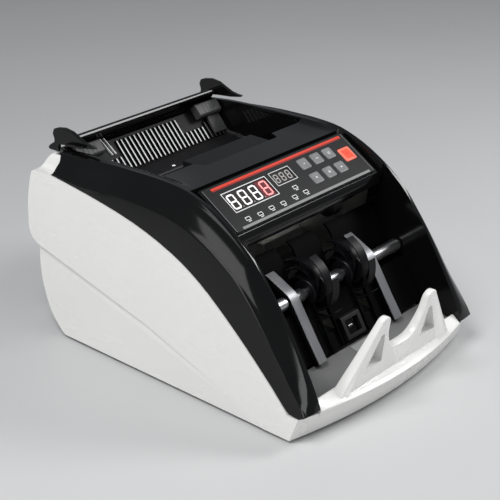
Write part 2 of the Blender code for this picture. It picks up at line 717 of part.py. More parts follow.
def note_guides():
    """Two sliding side guides that centre the notes in the hopper."""
    for name, side in (("note_guide_left", -1), ("note_guide_right", 1)):
        rise = RIB_RISE + 0.3
        body = [ramp_point(21.0, rise), ramp_point(21.0, 8.4), ramp_point(22.6, 9.8),
                ramp_point(33.0, 9.8), ramp_point(34.2, 8.6), ramp_point(34.2, rise)]
        ends = sorted((side * 63.6, side * 90.6))
        guide = prism(name, body, *ends, DARK, origin=(side * 77.0, *ramp_point(27.0, rise)))
        fence = [ramp_point(1.0, rise), ramp_point(1.0, 5.0), ramp_point(23.0, 15.0),
                 ramp_point(33.0, 15.0), ramp_point(34.2, 13.6), ramp_point(34.2, rise)]
        ends = sorted((side * 62.2, side * 64.2))
        join(guide, prism(f"fence_{side}", fence, *ends))


# ---------------------------------------------------------------- note path


def side_frames():
    """Steel side plates that carry every shaft."""
    outline = [(34, 2.5), (252, 2.5), (252, 96), (236, 132), (196, 146), (150, 148), (108, 136),
               (84, 116), (62, 98), (40, 72)]
    for name, side in (("side_frame_left", -1), ("side_frame_right", 1)):
        ends = sorted((side * FRAME_SIDE, side * (FRAME_SIDE + FRAME_THICK)))
        frame = prism(name, outline, *ends, PLATED)
        bores = [(IMPELLER_AXIS, 4.6), (OUTFEED_AXIS, 4.6), (FEED_AXIS, 4.6), (PICKUP_AXIS, 4.6)]
        if side > 0:
            bores.append((MOTOR_AXIS, 7.0))
        for i, (axis, radius) in enumerate(bores):
            reach = sorted((side * 98.0, side * 110.0))
            combine(frame, disc(f"bore_{side}_{i}", axis, radius, *reach))


def collar_profile(ends, shaft, collars):
    """Profile of a shaft with wider collars: collars are (start, end, radius)."""
    profile = [(0.0, ends[0]), (shaft, ends[0])]
    for start, end, radius in sorted(collars):
        profile += [(shaft, start), (radius, start), (radius, end), (shaft, end)]
    return profile + [(shaft, ends[1]), (0.0, ends[1])]


def impeller_shaft():
    collars = [(-97.6, -37.0, 5.7), (-14.4, 14.4, 5.7), (37.0, 97.6, 5.7)]
    turned("impeller_shaft", collar_profile((-105.0, 105.0), 4.0, collars), IMPELLER_AXIS, STEEL)


def fin_outline(axis):
    """Outline of a stacking wheel: swept fins round a hub, first tip up and back."""
    points = []
    hub = 12.0
    step = 2 * math.pi / FIN_COUNT
    for k in range(FIN_COUNT):
        tip = FIN_LEAD + k * step
        # the fin leaves the hub ahead of its tip and sweeps back to a point
        for share, radius in ((0.98, hub), (0.86, 18.0), (0.62, 24.5), (0.34, 29.4), (0.0, WHEEL_RADIUS)):
            angle = tip - share * step * 1.15
            points.append((angle, radius))
        for share, radius in ((0.13, 27.2), (0.17, 22.0), (0.16, 17.0)):
            points.append((tip - share * step * 1.15, radius))
    ordered = []
    for angle, radius in points:
        ordered.append((axis[0] + radius * math.cos(angle), axis[1] + radius * math.sin(angle)))
    return ordered


def stacking_wheels():
    """Two wheels of swept fins that drop each note on the tray."""
    for name, spot in zip(("stacking_wheel_left", "stacking_wheel_right"), WHEEL_SPOTS):
        wheel = prism(name, fin_outline(IMPELLER_AXIS), spot - 5.0, spot + 5.0, DARK,
                      origin=(spot, *IMPELLER_AXIS))
        join(wheel, disc(f"{name}_hub", IMPELLER_AXIS, 11.4, spot - 7.0, spot + 7.0))
        combine(wheel, disc(f"{name}_bore", IMPELLER_AXIS, 4.3, spot - 12, spot + 12))


def roller_set(name, axis, radius, spots, width, look, bore):
    """Rollers on one shaft, each with its own bore."""
    for i, spot in enumerate(spots):
        side = "left" if spot < 0 else "right"
        profile = [(bore, spot - width / 2), (radius - 0.8, spot - width / 2),
                   (radius, spot - width / 2 + 0.8), (radius, spot + width / 2 - 0.8),
                   (radius - 0.8, spot + width / 2), (bore, spot + width / 2),
                   (bore, spot - width / 2)]
        turned(f"{name}_{side}", profile, axis, look)


def feed_rollers():
    """Pick-up, feed and outfeed shafts with their rollers, and the fixed brake roller."""
    turned("feed_shaft", collar_profile((-108.0, 109.8), 4.0, [(-96, 96, 5.0)]), FEED_AXIS, STEEL)
    roller_set("feed_roller", FEED_AXIS, 19.0, (-28.0, 28.0), 24.0, ROLLER, 5.3)
    turned("pickup_shaft", collar_profile((-105.0, 109.8), 4.0, [(-96, 96, 5.0)]), PICKUP_AXIS,
           STEEL)
    roller_set("pickup_roller", PICKUP_AXIS, 14.6, (-28.0, 28.0), 20.0, ROLLER, 5.3)
    turned("outfeed_shaft", collar_profile((-108.0, 105.0), 4.0, [(-96, 96, 4.6)]), OUTFEED_AXIS,
           STEEL)
    roller_set("outfeed_roller", OUTFEED_AXIS, 11.0, (-72.0, 72.0), 14.0, RUBBER, 4.9)
    turned("brake_roller", [(0, -40), (3.4, -40), (3.4, -37), (10.0, -37), (10.0, 37), (3.4, 37),
                            (3.4, 40), (0, 40)], BRAKE_AXIS, RUBBER)
    holder = prism("brake_bracket", [(166, 140), (178, 140), (184, 159), (184, 168.8), (146, 168.8),
                                     (146, 159)], -44.0, 44.0, PLATED)
    combine(holder, prism("bracket_room", [(150, 130), (190, 130), (190, 160), (150, 160)],
                          -41.6, 41.6))
    combine(holder, disc("bracket_bore", BRAKE_AXIS, 3.7, -50, 50))
    return holder


def pulley(name, axis, radius, start, end):
    """A flanged belt pulley pressed on a shaft end."""
    bore, flange = 4.3, radius + 1.0
    profile = [(bore, start), (flange, start), (flange, start + 0.4), (radius, start + 0.4),
               (radius, end - 0.4), (flange, end - 0.4), (flange, end), (bore, end), (bore, start)]
    turned(name, profile, axis, PLATED)


def belt(name, first, second, start, end):
    """A flat belt round two pulleys, each given as (axis, radius)."""
    thick = 1.2

    def loop(extra):
        (a, ra), (b, rb) = first, second
        ra, rb = ra + extra, rb + extra
        run, rise = b[0] - a[0], b[1] - a[1]
        heading = math.atan2(rise, run)
        spread = math.acos((ra - rb) / math.hypot(run, rise))
        points = []
        for t in round_run(heading + spread, heading + 2 * math.pi - spread, 9):
            points.append((a[0] + ra * math.cos(t), a[1] + ra * math.sin(t)))
        for t in round_run(heading - spread, heading + spread, 9):
            points.append((b[0] + rb * math.cos(t), b[1] + rb * math.sin(t)))
        return points

    ring = prism(name, loop(GAP + thick), start, end, RUBBER)
    return combine(ring, prism(f"{name}_inside", loop(GAP), start - 5, end + 5))


def drive():
    """Motor, pulleys and belts, in the spaces between the side frames and the casing."""
    turned("main_motor", [(0, 44.0), (24.0, 44.0), (25.0, 45.0), (25.0, 101.0), (24.0, 102.0),
                          (6.4, 102.0), (6.4, 104.4), (3.4, 104.4), (3.4, 90.0), (0, 90.0)],
           MOTOR_AXIS, PLATED)
    turned("motor_pulley", [(0, 91.0), (3.0, 91.0), (3.0, 104.8), (9.0, 104.8), (9.0, 105.2),
                            (8.0, 105.2), (8.0, 107.2), (9.0, 107.2), (9.0, 107.6), (0, 107.6)],
           MOTOR_AXIS, STEEL)
    turned("feed_pulley", [(4.3, 104.8), (14.0, 104.8), (14.0, 105.2), (13.0, 105.2), (13.0, 107.2),
                           (14.0, 107.2), (14.0, 107.6), (9.0, 107.6), (9.0, 109.0), (10.0, 109.0),
                           (10.0, 109.4), (4.3, 109.4), (4.3, 104.8)], FEED_AXIS, PLATED)
    pulley("pickup_pulley", PICKUP_AXIS, 9.0, 107.2, 109.4)
    belt("motor_belt", (MOTOR_AXIS, 8.0), (FEED_AXIS, 13.0), 105.5, 106.9)
    belt("pickup_belt", (FEED_AXIS, 9.0), (PICKUP_AXIS, 9.0), 107.9, 108.7)
    pulley("outfeed_drive_pulley", FEED_AXIS, 13.0, -107.6, -104.8)
    pulley("outfeed_pulley", OUTFEED_AXIS, 9.0, -107.6, -104.8)
    belt("outfeed_belt", (FEED_AXIS, 13.0), (OUTFEED_AXIS, 9.0), -106.9, -105.5)


def electrics():
    """Transformer, main board, and the rear plate with its inlet, fuse and switch."""
    core = box("transformer", (-86, 172, 4.0), (-20, 226, 50), PLATED, 1.0)
    join(core, box("coil", (-78, 164, 8), (-28, 234, 44)))
    board = box("main_board", (-94, 52, 14.0), (30, 150, 15.6), BOARD)
    chips = [box(f"chip_{i}", (x, d, 15.0), (x + w, d + b, 15.6 + h)) for i, (x, d, w, b, h) in
             enumerate(((-60, 84, 20, 20, 3), (-86, 62, 12, 12, 12), (-86, 80, 12, 12, 12),
                        (-84, 120, 30, 8, 8), (-20, 118, 26, 8, 8), (4, 66, 14, 24, 5),
                        (-30, 66, 16, 8, 3)))]
    join(board, gather("board_chips", chips))
    plate = box("rear_plate", (-86, 272.2, 11), (-20, 274.0, 51), DARK)
    combine(plate, box("inlet_hole", (-80, 268, 19), (-52, 280, 41)))
    combine(plate, box("switch_hole", (-46, 268, 23.4), (-25.6, 280, 36.8)))
    inlet = box("power_inlet", (-79.7, 262.0, 19.3), (-52.3, 275.8, 40.7), RUBBER, 0.8)
    combine(inlet, box("inlet_socket", (-77, 264.0, 22), (-55, 282, 38)))
    pins = [box(f"pin_{i}", (x - 0.9, 262.8, h - 2.2), (x + 0.9, 273.0, h + 2.2))
            for i, (x, h) in enumerate(((-72.5, 28), (-66, 32.5), (-59.5, 28)))]
    join(inlet, gather("inlet_pins", pins))
    body = box("switch_body", (-45.7, 262.0, 23.7), (-25.9, 275.4, 36.5), RUBBER, 0.4)
    combine(body, box("switch_well", (-44.2, 268.0, 25.2), (-27.4, 282, 35.0)))
    rocker = [(273.9, 25.8), (277.4, 26.6), (275.2, 30.1), (276.2, 34.4), (272.2, 34.4), (270.0, 30.1)]
    prism("power_rocker", rocker, -43.8, -27.8, RUBBER, origin=(-35.8, 272.6, 30.1))


def build():
    clear_scene()
    lower_casing()
    top_cover()
    bottom_plate()
    feet()
    stopper()
    tray_floor()
    stacker_plate()
    sensor_housing()
    guide_strips()
    control_panel()
    hopper_plate()
    hopper_back()
    note_guides()
    side_frames()
    impeller_shaft()
    stacking_wheels()
    feed_rollers()
    drive()
    electrics()


build()
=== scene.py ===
import math

import bmesh
import bpy
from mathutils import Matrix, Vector


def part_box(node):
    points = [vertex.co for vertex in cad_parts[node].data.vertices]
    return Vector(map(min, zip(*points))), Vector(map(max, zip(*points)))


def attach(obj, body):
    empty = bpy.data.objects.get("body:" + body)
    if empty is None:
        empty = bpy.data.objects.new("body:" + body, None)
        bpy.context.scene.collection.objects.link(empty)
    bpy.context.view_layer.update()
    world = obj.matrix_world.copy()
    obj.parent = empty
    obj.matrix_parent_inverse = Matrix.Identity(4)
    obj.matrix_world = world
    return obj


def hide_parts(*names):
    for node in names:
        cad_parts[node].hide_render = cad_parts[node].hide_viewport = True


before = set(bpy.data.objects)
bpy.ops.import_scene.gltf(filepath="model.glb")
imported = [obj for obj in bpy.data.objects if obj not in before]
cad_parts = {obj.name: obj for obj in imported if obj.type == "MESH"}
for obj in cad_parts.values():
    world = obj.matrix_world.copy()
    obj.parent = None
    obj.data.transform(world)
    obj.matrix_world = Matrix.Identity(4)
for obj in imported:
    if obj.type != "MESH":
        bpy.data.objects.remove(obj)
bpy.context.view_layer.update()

mm = 0.001

# places are (x, depth, height) in millimetres: x from the middle, depth back from the front corners of
# the base, height up from the casing's lower edge
rearmost = 308.0
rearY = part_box("lower_casing")[1].y
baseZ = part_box("lower_casing")[0].z
gap = 0.3


def at(x, depth, height):
    return Vector((x * mm, rearY + (depth - rearmost) * mm, baseZ + height * mm))


# ---- shader helpers

class Wire:
    # a socket that can be used in sums: every operator adds a Math node
    def __init__(self, look, socket):
        self.look, self.socket = look, socket

    def sum(self, operation, first, second=None, third=None):
        values = {i: v for i, v in enumerate((first, second, third)) if v is not None}
        return self.look.add("Math", {"operation": operation}, values)

    def __add__(self, other):
        return self.sum("ADD", self, other)

    def __radd__(self, other):
        return self.sum("ADD", other, self)

    def __sub__(self, other):
        return self.sum("SUBTRACT", self, other)

    def __rsub__(self, other):
        return self.sum("SUBTRACT", other, self)

    def __mul__(self, other):
        return self.sum("MULTIPLY", self, other)

    def __rmul__(self, other):
        return self.sum("MULTIPLY", other, self)

    def __truediv__(self, other):
        return self.sum("DIVIDE", self, other)

    def __pow__(self, other):
        return self.sum("POWER", self, other)

    def clamp(self, low, high):
        return self.sum("MINIMUM", self.sum("MAXIMUM", self, low), high)

    def above(self, limit, blur=0.05):
        # 0 below the limit, 1 above it, with a soft step between
        return ((self - limit) / blur).clamp(0.0, 1.0)


class Look:
    def __init__(self, name, **constants):
        self.material = bpy.data.materials.new(name)
        self.material.use_nodes = True
        self.tree = self.material.node_tree
        self.shader = self.tree.nodes["Principled BSDF"]
        for key, value in constants.items():
            self.set(key, value)

    def set(self, key, value):
        socket = self.shader.inputs[key.replace("_", " ")]
        if isinstance(value, Wire):
            self.tree.links.new(value.socket, socket)
        elif isinstance(value, tuple) and len(value) == 3 and socket.type == "RGBA":
            socket.default_value = (*value, 1.0)
        else:
            socket.default_value = value

    def add(self, kind, settings, values, output=0):
        # one new node: its settings first, then the values or links of its sockets
        made = self.tree.nodes.new("ShaderNode" + kind)
        for key, value in settings.items():
            if key == "stops":
                while len(made.color_ramp.elements) < len(value):
                    made.color_ramp.elements.new(0.5)
                for element, (spot, color) in zip(made.color_ramp.elements, value):
                    element.position = spot
                    element.color = (*color, 1.0)
            else:
                setattr(made, key, value)
        for key, value in values.items():
            if isinstance(value, Wire):
                self.tree.links.new(value.socket, made.inputs[key])
            elif isinstance(value, tuple) and len(value) == 3 and made.inputs[key].type == "RGBA":
                made.inputs[key].default_value = (*value, 1.0)
            else:
                made.inputs[key].default_value = value
        return Wire(self, made.outputs[output])

    def coords(self, stretch=(1.0, 1.0, 1.0)):
        place = self.add("TexCoord", {}, {}, "Object")
        return self.add("Mapping", {}, {"Vector": place, "Scale": stretch})

    def noise(self, scale, detail=3.0, stretch=(1.0, 1.0, 1.0), rough=0.55):
        return self.add("TexNoise", {}, {"Vector": self.coords(stretch), "Scale": scale, "Detail": detail,
                                         "Roughness": rough})

    def cells(self, scale, stretch=(1.0, 1.0, 1.0)):
        return self.add("TexVoronoi", {"feature": "F1"}, {"Vector": self.coords(stretch), "Scale": scale})

    def blend(self, share, first, second):
        return self.add("Mix", {"data_type": "RGBA"}, {"Factor": share, 6: first, 7: second}, 2)

    def bump(self, height, strength, distance):
        self.set("Normal", self.add("Bump", {}, {"Height": height, "Strength": strength,
                                                 "Distance": distance}))


def tone(color, share):
    return tuple(c * share for c in color)


def mouldedPlastic(name, color, rough, spread, grain, depth, mottle=0.93, **constants):
    # plastic with a faint cloudy tone, handling marks in its gloss and its tool's surface grain
    look = Look(name, **constants)
    cloud = look.noise(14.0, 4.0)
    look.set("Base Color", look.blend(cloud.above(0.35, 0.3), tone(color, mottle), color))
    smear = look.noise(38.0, 5.0, (1.0, 0.35, 1.0)).above(0.42, 0.3)
    look.set("Roughness", smear * spread + rough)
    look.bump(look.noise(grain, 2.0), 0.5, depth)
    return look.material


def whiteGloss():
    return mouldedPlastic("whiteGloss", (0.78, 0.775, 0.755), 0.26, 0.03, 900.0, 0.00001, 0.985,
                          Coat_Weight=0.35, Coat_Roughness=0.08)


def blackGloss():
    # high gloss, with fine hairlines and finger smears that show only in the reflections
    look = Look("blackGloss", Specular_IOR_Level=0.3)
    cloud = look.noise(9.0, 4.0)
    dark, light = (0.0022, 0.0022, 0.0023), (0.0038, 0.0038, 0.0038)
    look.set("Base Color", look.blend(cloud.above(0.4, 0.3), dark, light))
    smear = look.noise(26.0, 6.0, (1.0, 0.4, 1.0)).above(0.45, 0.25)
    hair = look.noise(900.0, 1.0, (1.0, 0.02, 1.0)).above(0.68, 0.06)
    look.set("Roughness", smear * 0.06 + hair * 0.05 + 0.10)
    look.bump(look.noise(520.0, 2.0), 0.25, 0.00001)
    return look.material


def darkTexture(name="darkTexture", color=(0.0065, 0.0065, 0.0072), rough=0.46, shine=0.25):
    # spark-eroded mould texture on black plastic
    look = Look(name, Specular_IOR_Level=shine)
    grain = look.cells(1500.0)
    cloud = look.noise(20.0, 3.0)
    look.set("Base Color", look.blend(cloud.above(0.35, 0.3), tone(color, 0.8), color))
    look.set("Roughness", grain * 0.12 + rough)
    look.bump(grain, 0.35, 0.00008)
    return look.material


def panelFilm():
    # printed polyester film: even black with a very fine velvet grain
    look = Look("panelFilm", Specular_IOR_Level=0.3)
    grain = look.noise(2600.0, 1.0)
    look.set("Base Color", look.blend(grain.above(0.4, 0.2), (0.006, 0.006, 0.0065), (0.009, 0.009, 0.0095)))
    look.set("Roughness", look.noise(30.0, 3.0) * 0.08 + 0.33)
    look.bump(grain, 0.2, 0.00002)
    return look.material


def keyRubber(name, color, glow):
    # domed key: slightly lighter in random cloudy patches
    look = Look(name, Specular_IOR_Level=0.45)
    grain = look.noise(1400.0, 2.0)
    cloud = look.noise(120.0, 3.0)
    look.set("Base Color", look.blend(cloud.above(0.38, 0.3), color, glow))
    look.set("Roughness", grain * 0.1 + 0.36)
    look.bump(grain, 0.25, 0.00003)
    return look.material


def inkPrint(name, color, rough=0.4):
    # screen-printed ink, a little uneven in density
    look = Look(name)
    cover = look.noise(600.0, 2.0)
    look.set("Base Color", look.blend(cover.above(0.3, 0.3), tone(color, 0.9), color))
    look.set("Roughness", cover * 0.1 + rough)
    look.bump(cover, 0.15, 0.00001)
    return look.material


def litSegment(name, color, strength):
    look = Look(name, Roughness=0.35)
    haze = look.noise(500.0, 2.0)
    look.set("Base Color", look.blend(haze.above(0.3, 0.4), tone(color, 0.9), color))
    look.set("Emission Color", look.blend(haze.above(0.3, 0.4), tone(color, 0.85), color))
    look.shader.inputs["Emission Strength"].default_value = strength
    return look.material


def steelSheet(name, color, rough, along, scratch=0.1):
    # rolled strip: long fine brushing along one axis
    look = Look(name, Metallic=1.0)
    brush = look.noise(900.0, 3.0, along)
    cloud = look.noise(45.0, 3.0)
    look.set("Base Color", look.blend(brush.above(0.3, 0.4), tone(color, 0.86), color))
    look.set("Roughness", brush * scratch + cloud * 0.06 + rough)
    look.bump(brush, 0.25, 0.00002)
    return look.material


def turnedSteel():
    # ground shaft: rings of fine grinding marks across its length
    look = Look("turnedSteel", Metallic=1.0)
    rings = look.noise(1500.0, 2.0, (1.0, 0.04, 0.04))
    dirt = look.noise(90.0, 4.0)
    look.set("Base Color", look.blend(dirt.above(0.55, 0.2), (0.56, 0.56, 0.57), (0.40, 0.40, 0.41)))
    look.set("Roughness", rings * 0.12 + 0.26)
    look.bump(rings, 0.3, 0.00002)
    return look.material


def zincPlate():
    # passivated zinc: small crystal patches with a faint yellow cast
    look = Look("zincPlate", Metallic=1.0)
    patch = look.cells(260.0)
    cloud = look.noise(30.0, 4.0)
    look.set("Base Color", look.blend(cloud.above(0.45, 0.2), (0.47, 0.47, 0.46), (0.52, 0.51, 0.47)))
    look.set("Roughness", patch * 0.15 + 0.33)
    look.bump(look.noise(300.0, 3.0), 0.2, 0.00003)
    return look.material


def rollerRubber():
    # ground rubber: dull, with dust in its pores
    look = Look("rollerRubber", Sheen_Weight=0.15, Sheen_Roughness=0.5)
    pores = look.noise(1800.0, 3.0)
    dust = look.noise(60.0, 5.0)
    look.set("Base Color", look.blend(dust.above(0.55, 0.25), (0.050, 0.030, 0.020), (0.10, 0.075, 0.058)))
    look.set("Roughness", pores * 0.15 + 0.62)
    look.bump(pores, 0.6, 0.00008)
    return look.material


def softRubber():
    look = Look("softRubber")
    pores = look.noise(1300.0, 3.0)
    look.set("Base Color", look.blend(look.noise(50.0, 3.0).above(0.5, 0.3), (0.016, 0.016, 0.016),
                                      (0.03, 0.03, 0.03)))
    look.set("Roughness", pores * 0.15 + 0.6)
    look.bump(pores, 0.4, 0.00005)
    return look.material


def circuitBoard():
    # solder mask with tracks showing faintly through it
    look = Look("circuitBoard", Coat_Weight=0.4, Coat_Roughness=0.15)
    tracks = look.cells(160.0, (1.0, 1.0, 0.2)).above(0.55, 0.08)
    look.set("Base Color", look.blend(tracks, (0.012, 0.075, 0.03), (0.02, 0.13, 0.05)))
    look.set("Roughness", tracks * 0.1 + 0.3)
    look.bump(tracks, 0.2, 0.00004)
    return look.material


def displayFace():
    look = Look("displayFace", Coat_Weight=0.6, Coat_Roughness=0.04)
    haze = look.noise(200.0, 2.0)
    look.set("Base Color", look.blend(haze.above(0.3, 0.4), (0.022, 0.019, 0.018), (0.030, 0.026, 0.025)))
    look.set("Roughness", haze * 0.08 + 0.12)
    look.bump(haze, 0.05, 0.00001)
    return look.material


def paleFloor():
    look = Look("paleFloor")
    cloud = look.noise(3.0, 3.0)
    look.set("Base Color", look.blend(cloud.above(0.3, 0.4), (0.52, 0.52, 0.52), (0.54, 0.54, 0.54)))
    look.set("Roughness", look.noise(80.0, 2.0) * 0.1 + 0.5)
    return look.material


looks = {
    "white": whiteGloss(),
    "black": blackGloss(),
    "dark": darkTexture(),
    # painted shade: a near-black with almost no reflection, used for the note pocket's plate, rails, roof sheet
    # and strip backings and for the rib sides
    "shade": darkTexture("pocketPaintedShade", (0.0016, 0.0016, 0.0019), 0.6, 0.04),
    "wheel": darkTexture("wheelPlastic", (0.004, 0.004, 0.005), 0.34, 0.16),
    "guide": darkTexture("guidePlastic", (0.05, 0.05, 0.051), 0.42, 0.4),
    "tray": darkTexture("trayPlastic", (0.15, 0.15, 0.15), 0.38, 0.4),
    "tongue": darkTexture("tonguePlastic", (0.30, 0.30, 0.30), 0.34, 0.4),
    # painted highlight: light grey for the lit tops of the hopper ribs and for two streaks on the ramp
    "rib": inkPrint("ribHighlightGrey", (0.60, 0.60, 0.60), 0.34),
    "film": panelFilm(),
    "key": keyRubber("keyGrey", (0.15, 0.15, 0.155), (0.19, 0.19, 0.195)),
    "start": keyRubber("startRim", (0.80, 0.15, 0.10), (0.86, 0.19, 0.13)),
    "startFace": keyRubber("startFace", (0.80, 0.055, 0.018), (0.88, 0.075, 0.025)),
    "mark": inkPrint("whiteInk", (0.72, 0.72, 0.72)),
    "filmEdge": inkPrint("filmEdge", (0.16, 0.16, 0.16)),
    "stripe": inkPrint("redStripe", (0.62, 0.035, 0.012), 0.32),
    "stripeDark": inkPrint("redStripeLow", (0.26, 0.008, 0.004), 0.32),
    "silver": inkPrint("silverInk", (0.22, 0.22, 0.22), 0.30),
    "digit": litSegment("digitWhite", (0.92, 0.90, 0.88), 0.35),
    "digitRed": litSegment("digitRed", (0.95, 0.30, 0.30), 0.55),
    "digitGlow": litSegment("digitGlow", (0.10, 0.006, 0.010), 0.25),
    "digitSmall": litSegment("digitSmall", (0.40, 0.38, 0.37), 0.1),
    "display": displayFace(),
    "strip": steelSheet("stripSteel", (0.24, 0.24, 0.25), 0.34, (1.0, 0.04, 0.04)),
    "shaft": turnedSteel(),
    "zinc": zincPlate(),
    "roller": rollerRubber(),
    "rubber": softRubber(),
    "board": circuitBoard(),
}
print("materials made:", len(looks))


# ---- mesh helpers

def baked(obj):
    # the object with its modifiers worked into its mesh
    done = obj.evaluated_get(bpy.context.evaluated_depsgraph_get())
    mesh = bpy.data.meshes.new_from_object(done)
    obj.modifiers.clear()
    obj.data = mesh
    return obj


def newObject(name, mesh, smooth=32.0):
    mesh.shade_smooth()
    mesh.set_sharp_from_angle(angle=math.radians(smooth))
    obj = bpy.data.objects.new(name, mesh)
    bpy.context.scene.collection.objects.link(obj)
    return obj


def fromMesh(name, bm, smooth=32.0):
    bmesh.ops.recalc_face_normals(bm, faces=bm.faces)
    mesh = bpy.data.meshes.new(name)
    bm.to_mesh(mesh)
    bm.free()
    return newObject(name, mesh, smooth)


def skin(name, rings, smooth=32.0):
    # closed solid over rings of equal length, with flat ends
    bm = bmesh.new()
    rows = [[bm.verts.new(p) for p in ring] for ring in rings]
    count = len(rows[0])
    for row, following in zip(rows, rows[1:]):
        for i in range(count):
            j = (i + 1) % count
            bm.faces.new((row[i], row[j], following[j], following[i]))
    ends = [bm.faces.new(rows[0]), bm.faces.new(rows[-1])]
    bmesh.ops.triangulate(bm, faces=ends)
    return fromMesh(name, bm, smooth)


def soften(obj, width, segments=3, angle=32.0):
    mod = obj.modifiers.new("edges", "BEVEL")
    mod.width = width * mm
    mod.segments = segments
    mod.limit_method = "ANGLE"
    mod.angle_limit = math.radians(angle)
    mod.harden_normals = True
    return obj


def carve(obj, tool, operation="DIFFERENCE"):
    mod = obj.modifiers.new("cut", "BOOLEAN")
    mod.operation = operation
    mod.object = tool
    mod.solver = "MANIFOLD"
    bpy.context.view_layer.update()
    baked(obj)
    bpy.data.objects.remove(tool, do_unlink=True)
    return obj


def rounded(points, radius, steps=5):
    # a closed outline with its corners turned into arcs; radius is one value or one for each corner
    radii = radius if isinstance(radius, (list, tuple)) else [radius] * len(points)
    result = []
    for i, corner in enumerate(points):
        before = Vector(points[i - 1])
        here = Vector(corner)
        after = Vector(points[(i + 1) % len(points)])
        inward, outward = (before - here), (after - here)
        turn = inward.angle(outward)
        if radii[i] <= 0.0 or turn > math.radians(176.0):
            result.append(here)
            continue
        reach = min(radii[i] / math.tan(turn / 2), inward.length * 0.49, outward.length * 0.49)
        size = reach * math.tan(turn / 2)
        middle = here + (inward.normalized() + outward.normalized()).normalized() * (size / math.sin(turn / 2))
        first = here + inward.normalized() * reach - middle
        swing = math.pi - turn
        side = 1.0 if inward.x * outward.y - inward.y * outward.x < 0.0 else -1.0
        for k in range(steps + 1):
            angle = side * swing * k / steps
            result.append(middle + Vector((first.x * math.cos(angle) - first.y * math.sin(angle),
                                           first.x * math.sin(angle) + first.y * math.cos(angle))))
    return result


def rect(x0, x1, y0, y1, radius=0.0, steps=5):
    corners = [(x0, y0), (x1, y0), (x1, y1), (x0, y1)]
    return rounded(corners, radius, steps) if radius else [Vector(c) for c in corners]


# planes that outlines are drawn on: each turns (a, b, c) in millimetres into a place
def sideways(a, b, c):
    return at(c, a, b)


def upright(a, b, c):
    return at(a, c, b)


def level(a, b, c):
    return at(a, b, c)


panelFoot, panelHead = (78.3, 146.3), (120.1, 172.8)
panelLength = math.hypot(panelHead[0] - panelFoot[0], panelHead[1] - panelFoot[1])
panelAngle = math.atan2(panelHead[1] - panelFoot[1], panelHead[0] - panelFoot[0])
rampFoot, rampHead = (255.0, 140.8), (277.5, 165.0)
rampAngle = math.atan2(rampHead[1] - rampFoot[1], rampHead[0] - rampFoot[0])


def slope(start, angle, up, lift):
    return (start[0] + up * math.cos(angle) - lift * math.sin(angle),
            start[1] + up * math.sin(angle) + lift * math.cos(angle))


def onPanel(a, b, c):
    return at(a, *slope(panelFoot, panelAngle, b, c))


def onRamp(a, b, c):
    return at(a, *slope(rampFoot, rampAngle, b, c))


def plates(name, plane, outlines, low, high, edge=0.0, segments=2):
    # one object of flat outlines, each drawn out from low to high on a plane
    bm = bmesh.new()
    for outline in outlines:
        face = bm.faces.new([bm.verts.new(plane(p[0], p[1], low)) for p in outline])
        grown = bmesh.ops.extrude_face_region(bm, geom=[face], use_keep_orig=True)
        verts = [v for v in grown["geom"] if isinstance(v, bmesh.types.BMVert)]
        shift = plane(0.0, 0.0, high) - plane(0.0, 0.0, low)
        bmesh.ops.translate(bm, verts=verts, vec=shift)
    obj = fromMesh(name, bm)
    return soften(obj, edge, segments) if edge else obj


def lathe(name, profile, axis, steps=72, edge=0.0):
    # profile is (radius, x) along a line parallel to x through axis
    rings = []
    for k in range(steps):
        angle = 2 * math.pi * k / steps
        ring = [at(x, axis[0] + r * math.cos(angle), axis[1] + r * math.sin(angle)) for r, x in profile]
        rings.append(ring)
    bm = bmesh.new()
    rows = [[bm.verts.new(p) for p in ring] for ring in rings]
    count = len(profile)
    for k in range(steps):
        row, following = rows[k], rows[(k + 1) % steps]
        for i in range(count - 1):
            bm.faces.new((row[i], row[i + 1], following[i + 1], following[i]))
        if profile[0][0] > 0.0 and profile[0] != profile[-1]:
            bm.faces.new((row[count - 1], row[0], following[0], following[count - 1]))
    bmesh.ops.remove_doubles(bm, verts=bm.verts, dist=1e-7)
    bmesh.ops.dissolve_degenerate(bm, edges=bm.edges, dist=1e-7)
    obj = fromMesh(name, bm)
    return soften(obj, edge, 2) if edge else obj


def levelRing(x, depth, radius, height, count):
    return [at(x + radius * math.cos(a), depth + radius * math.sin(a), height)
            for a in spread(0, 2 * math.pi, count)[:-1]]


def merge(name, pieces):
    # several finished shapes as one object
    bm = bmesh.new()
    for piece in pieces:
        part = baked(piece).data
        bm.from_mesh(part)
        bpy.data.objects.remove(piece, do_unlink=True)
    mesh = bpy.data.meshes.new(name)
    bm.to_mesh(mesh)
    bm.free()
    obj = bpy.data.objects.new(name, mesh)
    bpy.context.scene.collection.objects.link(obj)
    return obj


def put(obj, look, body="machine", nodes=()):
    obj.data.materials.clear()
    obj.data.materials.append(looks[look])
    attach(obj, body)
    if nodes:
        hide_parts(*nodes)
    return obj


def curveThrough(points, spot):
    # height at a depth on the smooth curve through (depth, height) points
    for i in range(len(points) - 1):
        if spot <= points[i + 1][0] or i == len(points) - 2:
            break
    (x0, y0), (x1, y1) = points[i], points[i + 1]
    run = x1 - x0

    def lean(j):
        a, b = points[max(j - 1, 0)], points[min(j + 1, len(points) - 1)]
        return (b[1] - a[1]) / (b[0] - a[0])

    t = (spot - x0) / run
    return ((2 * t**3 - 3 * t**2 + 1) * y0 + (t**3 - 2 * t**2 + t) * run * lean(i)
            + (3 * t**2 - 2 * t**3) * y1 + (t**3 - t**2) * run * lean(i + 1))


def spread(start, end, count):
    return [start + (end - start) * i / count for i in range(count + 1)]


def offsetLine(points, distance):
    moved = []
    for i, (d, h) in enumerate(points):
        a, b = points[max(i - 1, 0)], points[min(i + 1, len(points) - 1)]
        run, rise = b[0] - a[0], b[1] - a[1]
        length = math.hypot(run, rise)
        moved.append((d + rise / length * distance, h - run / length * distance))
    return moved


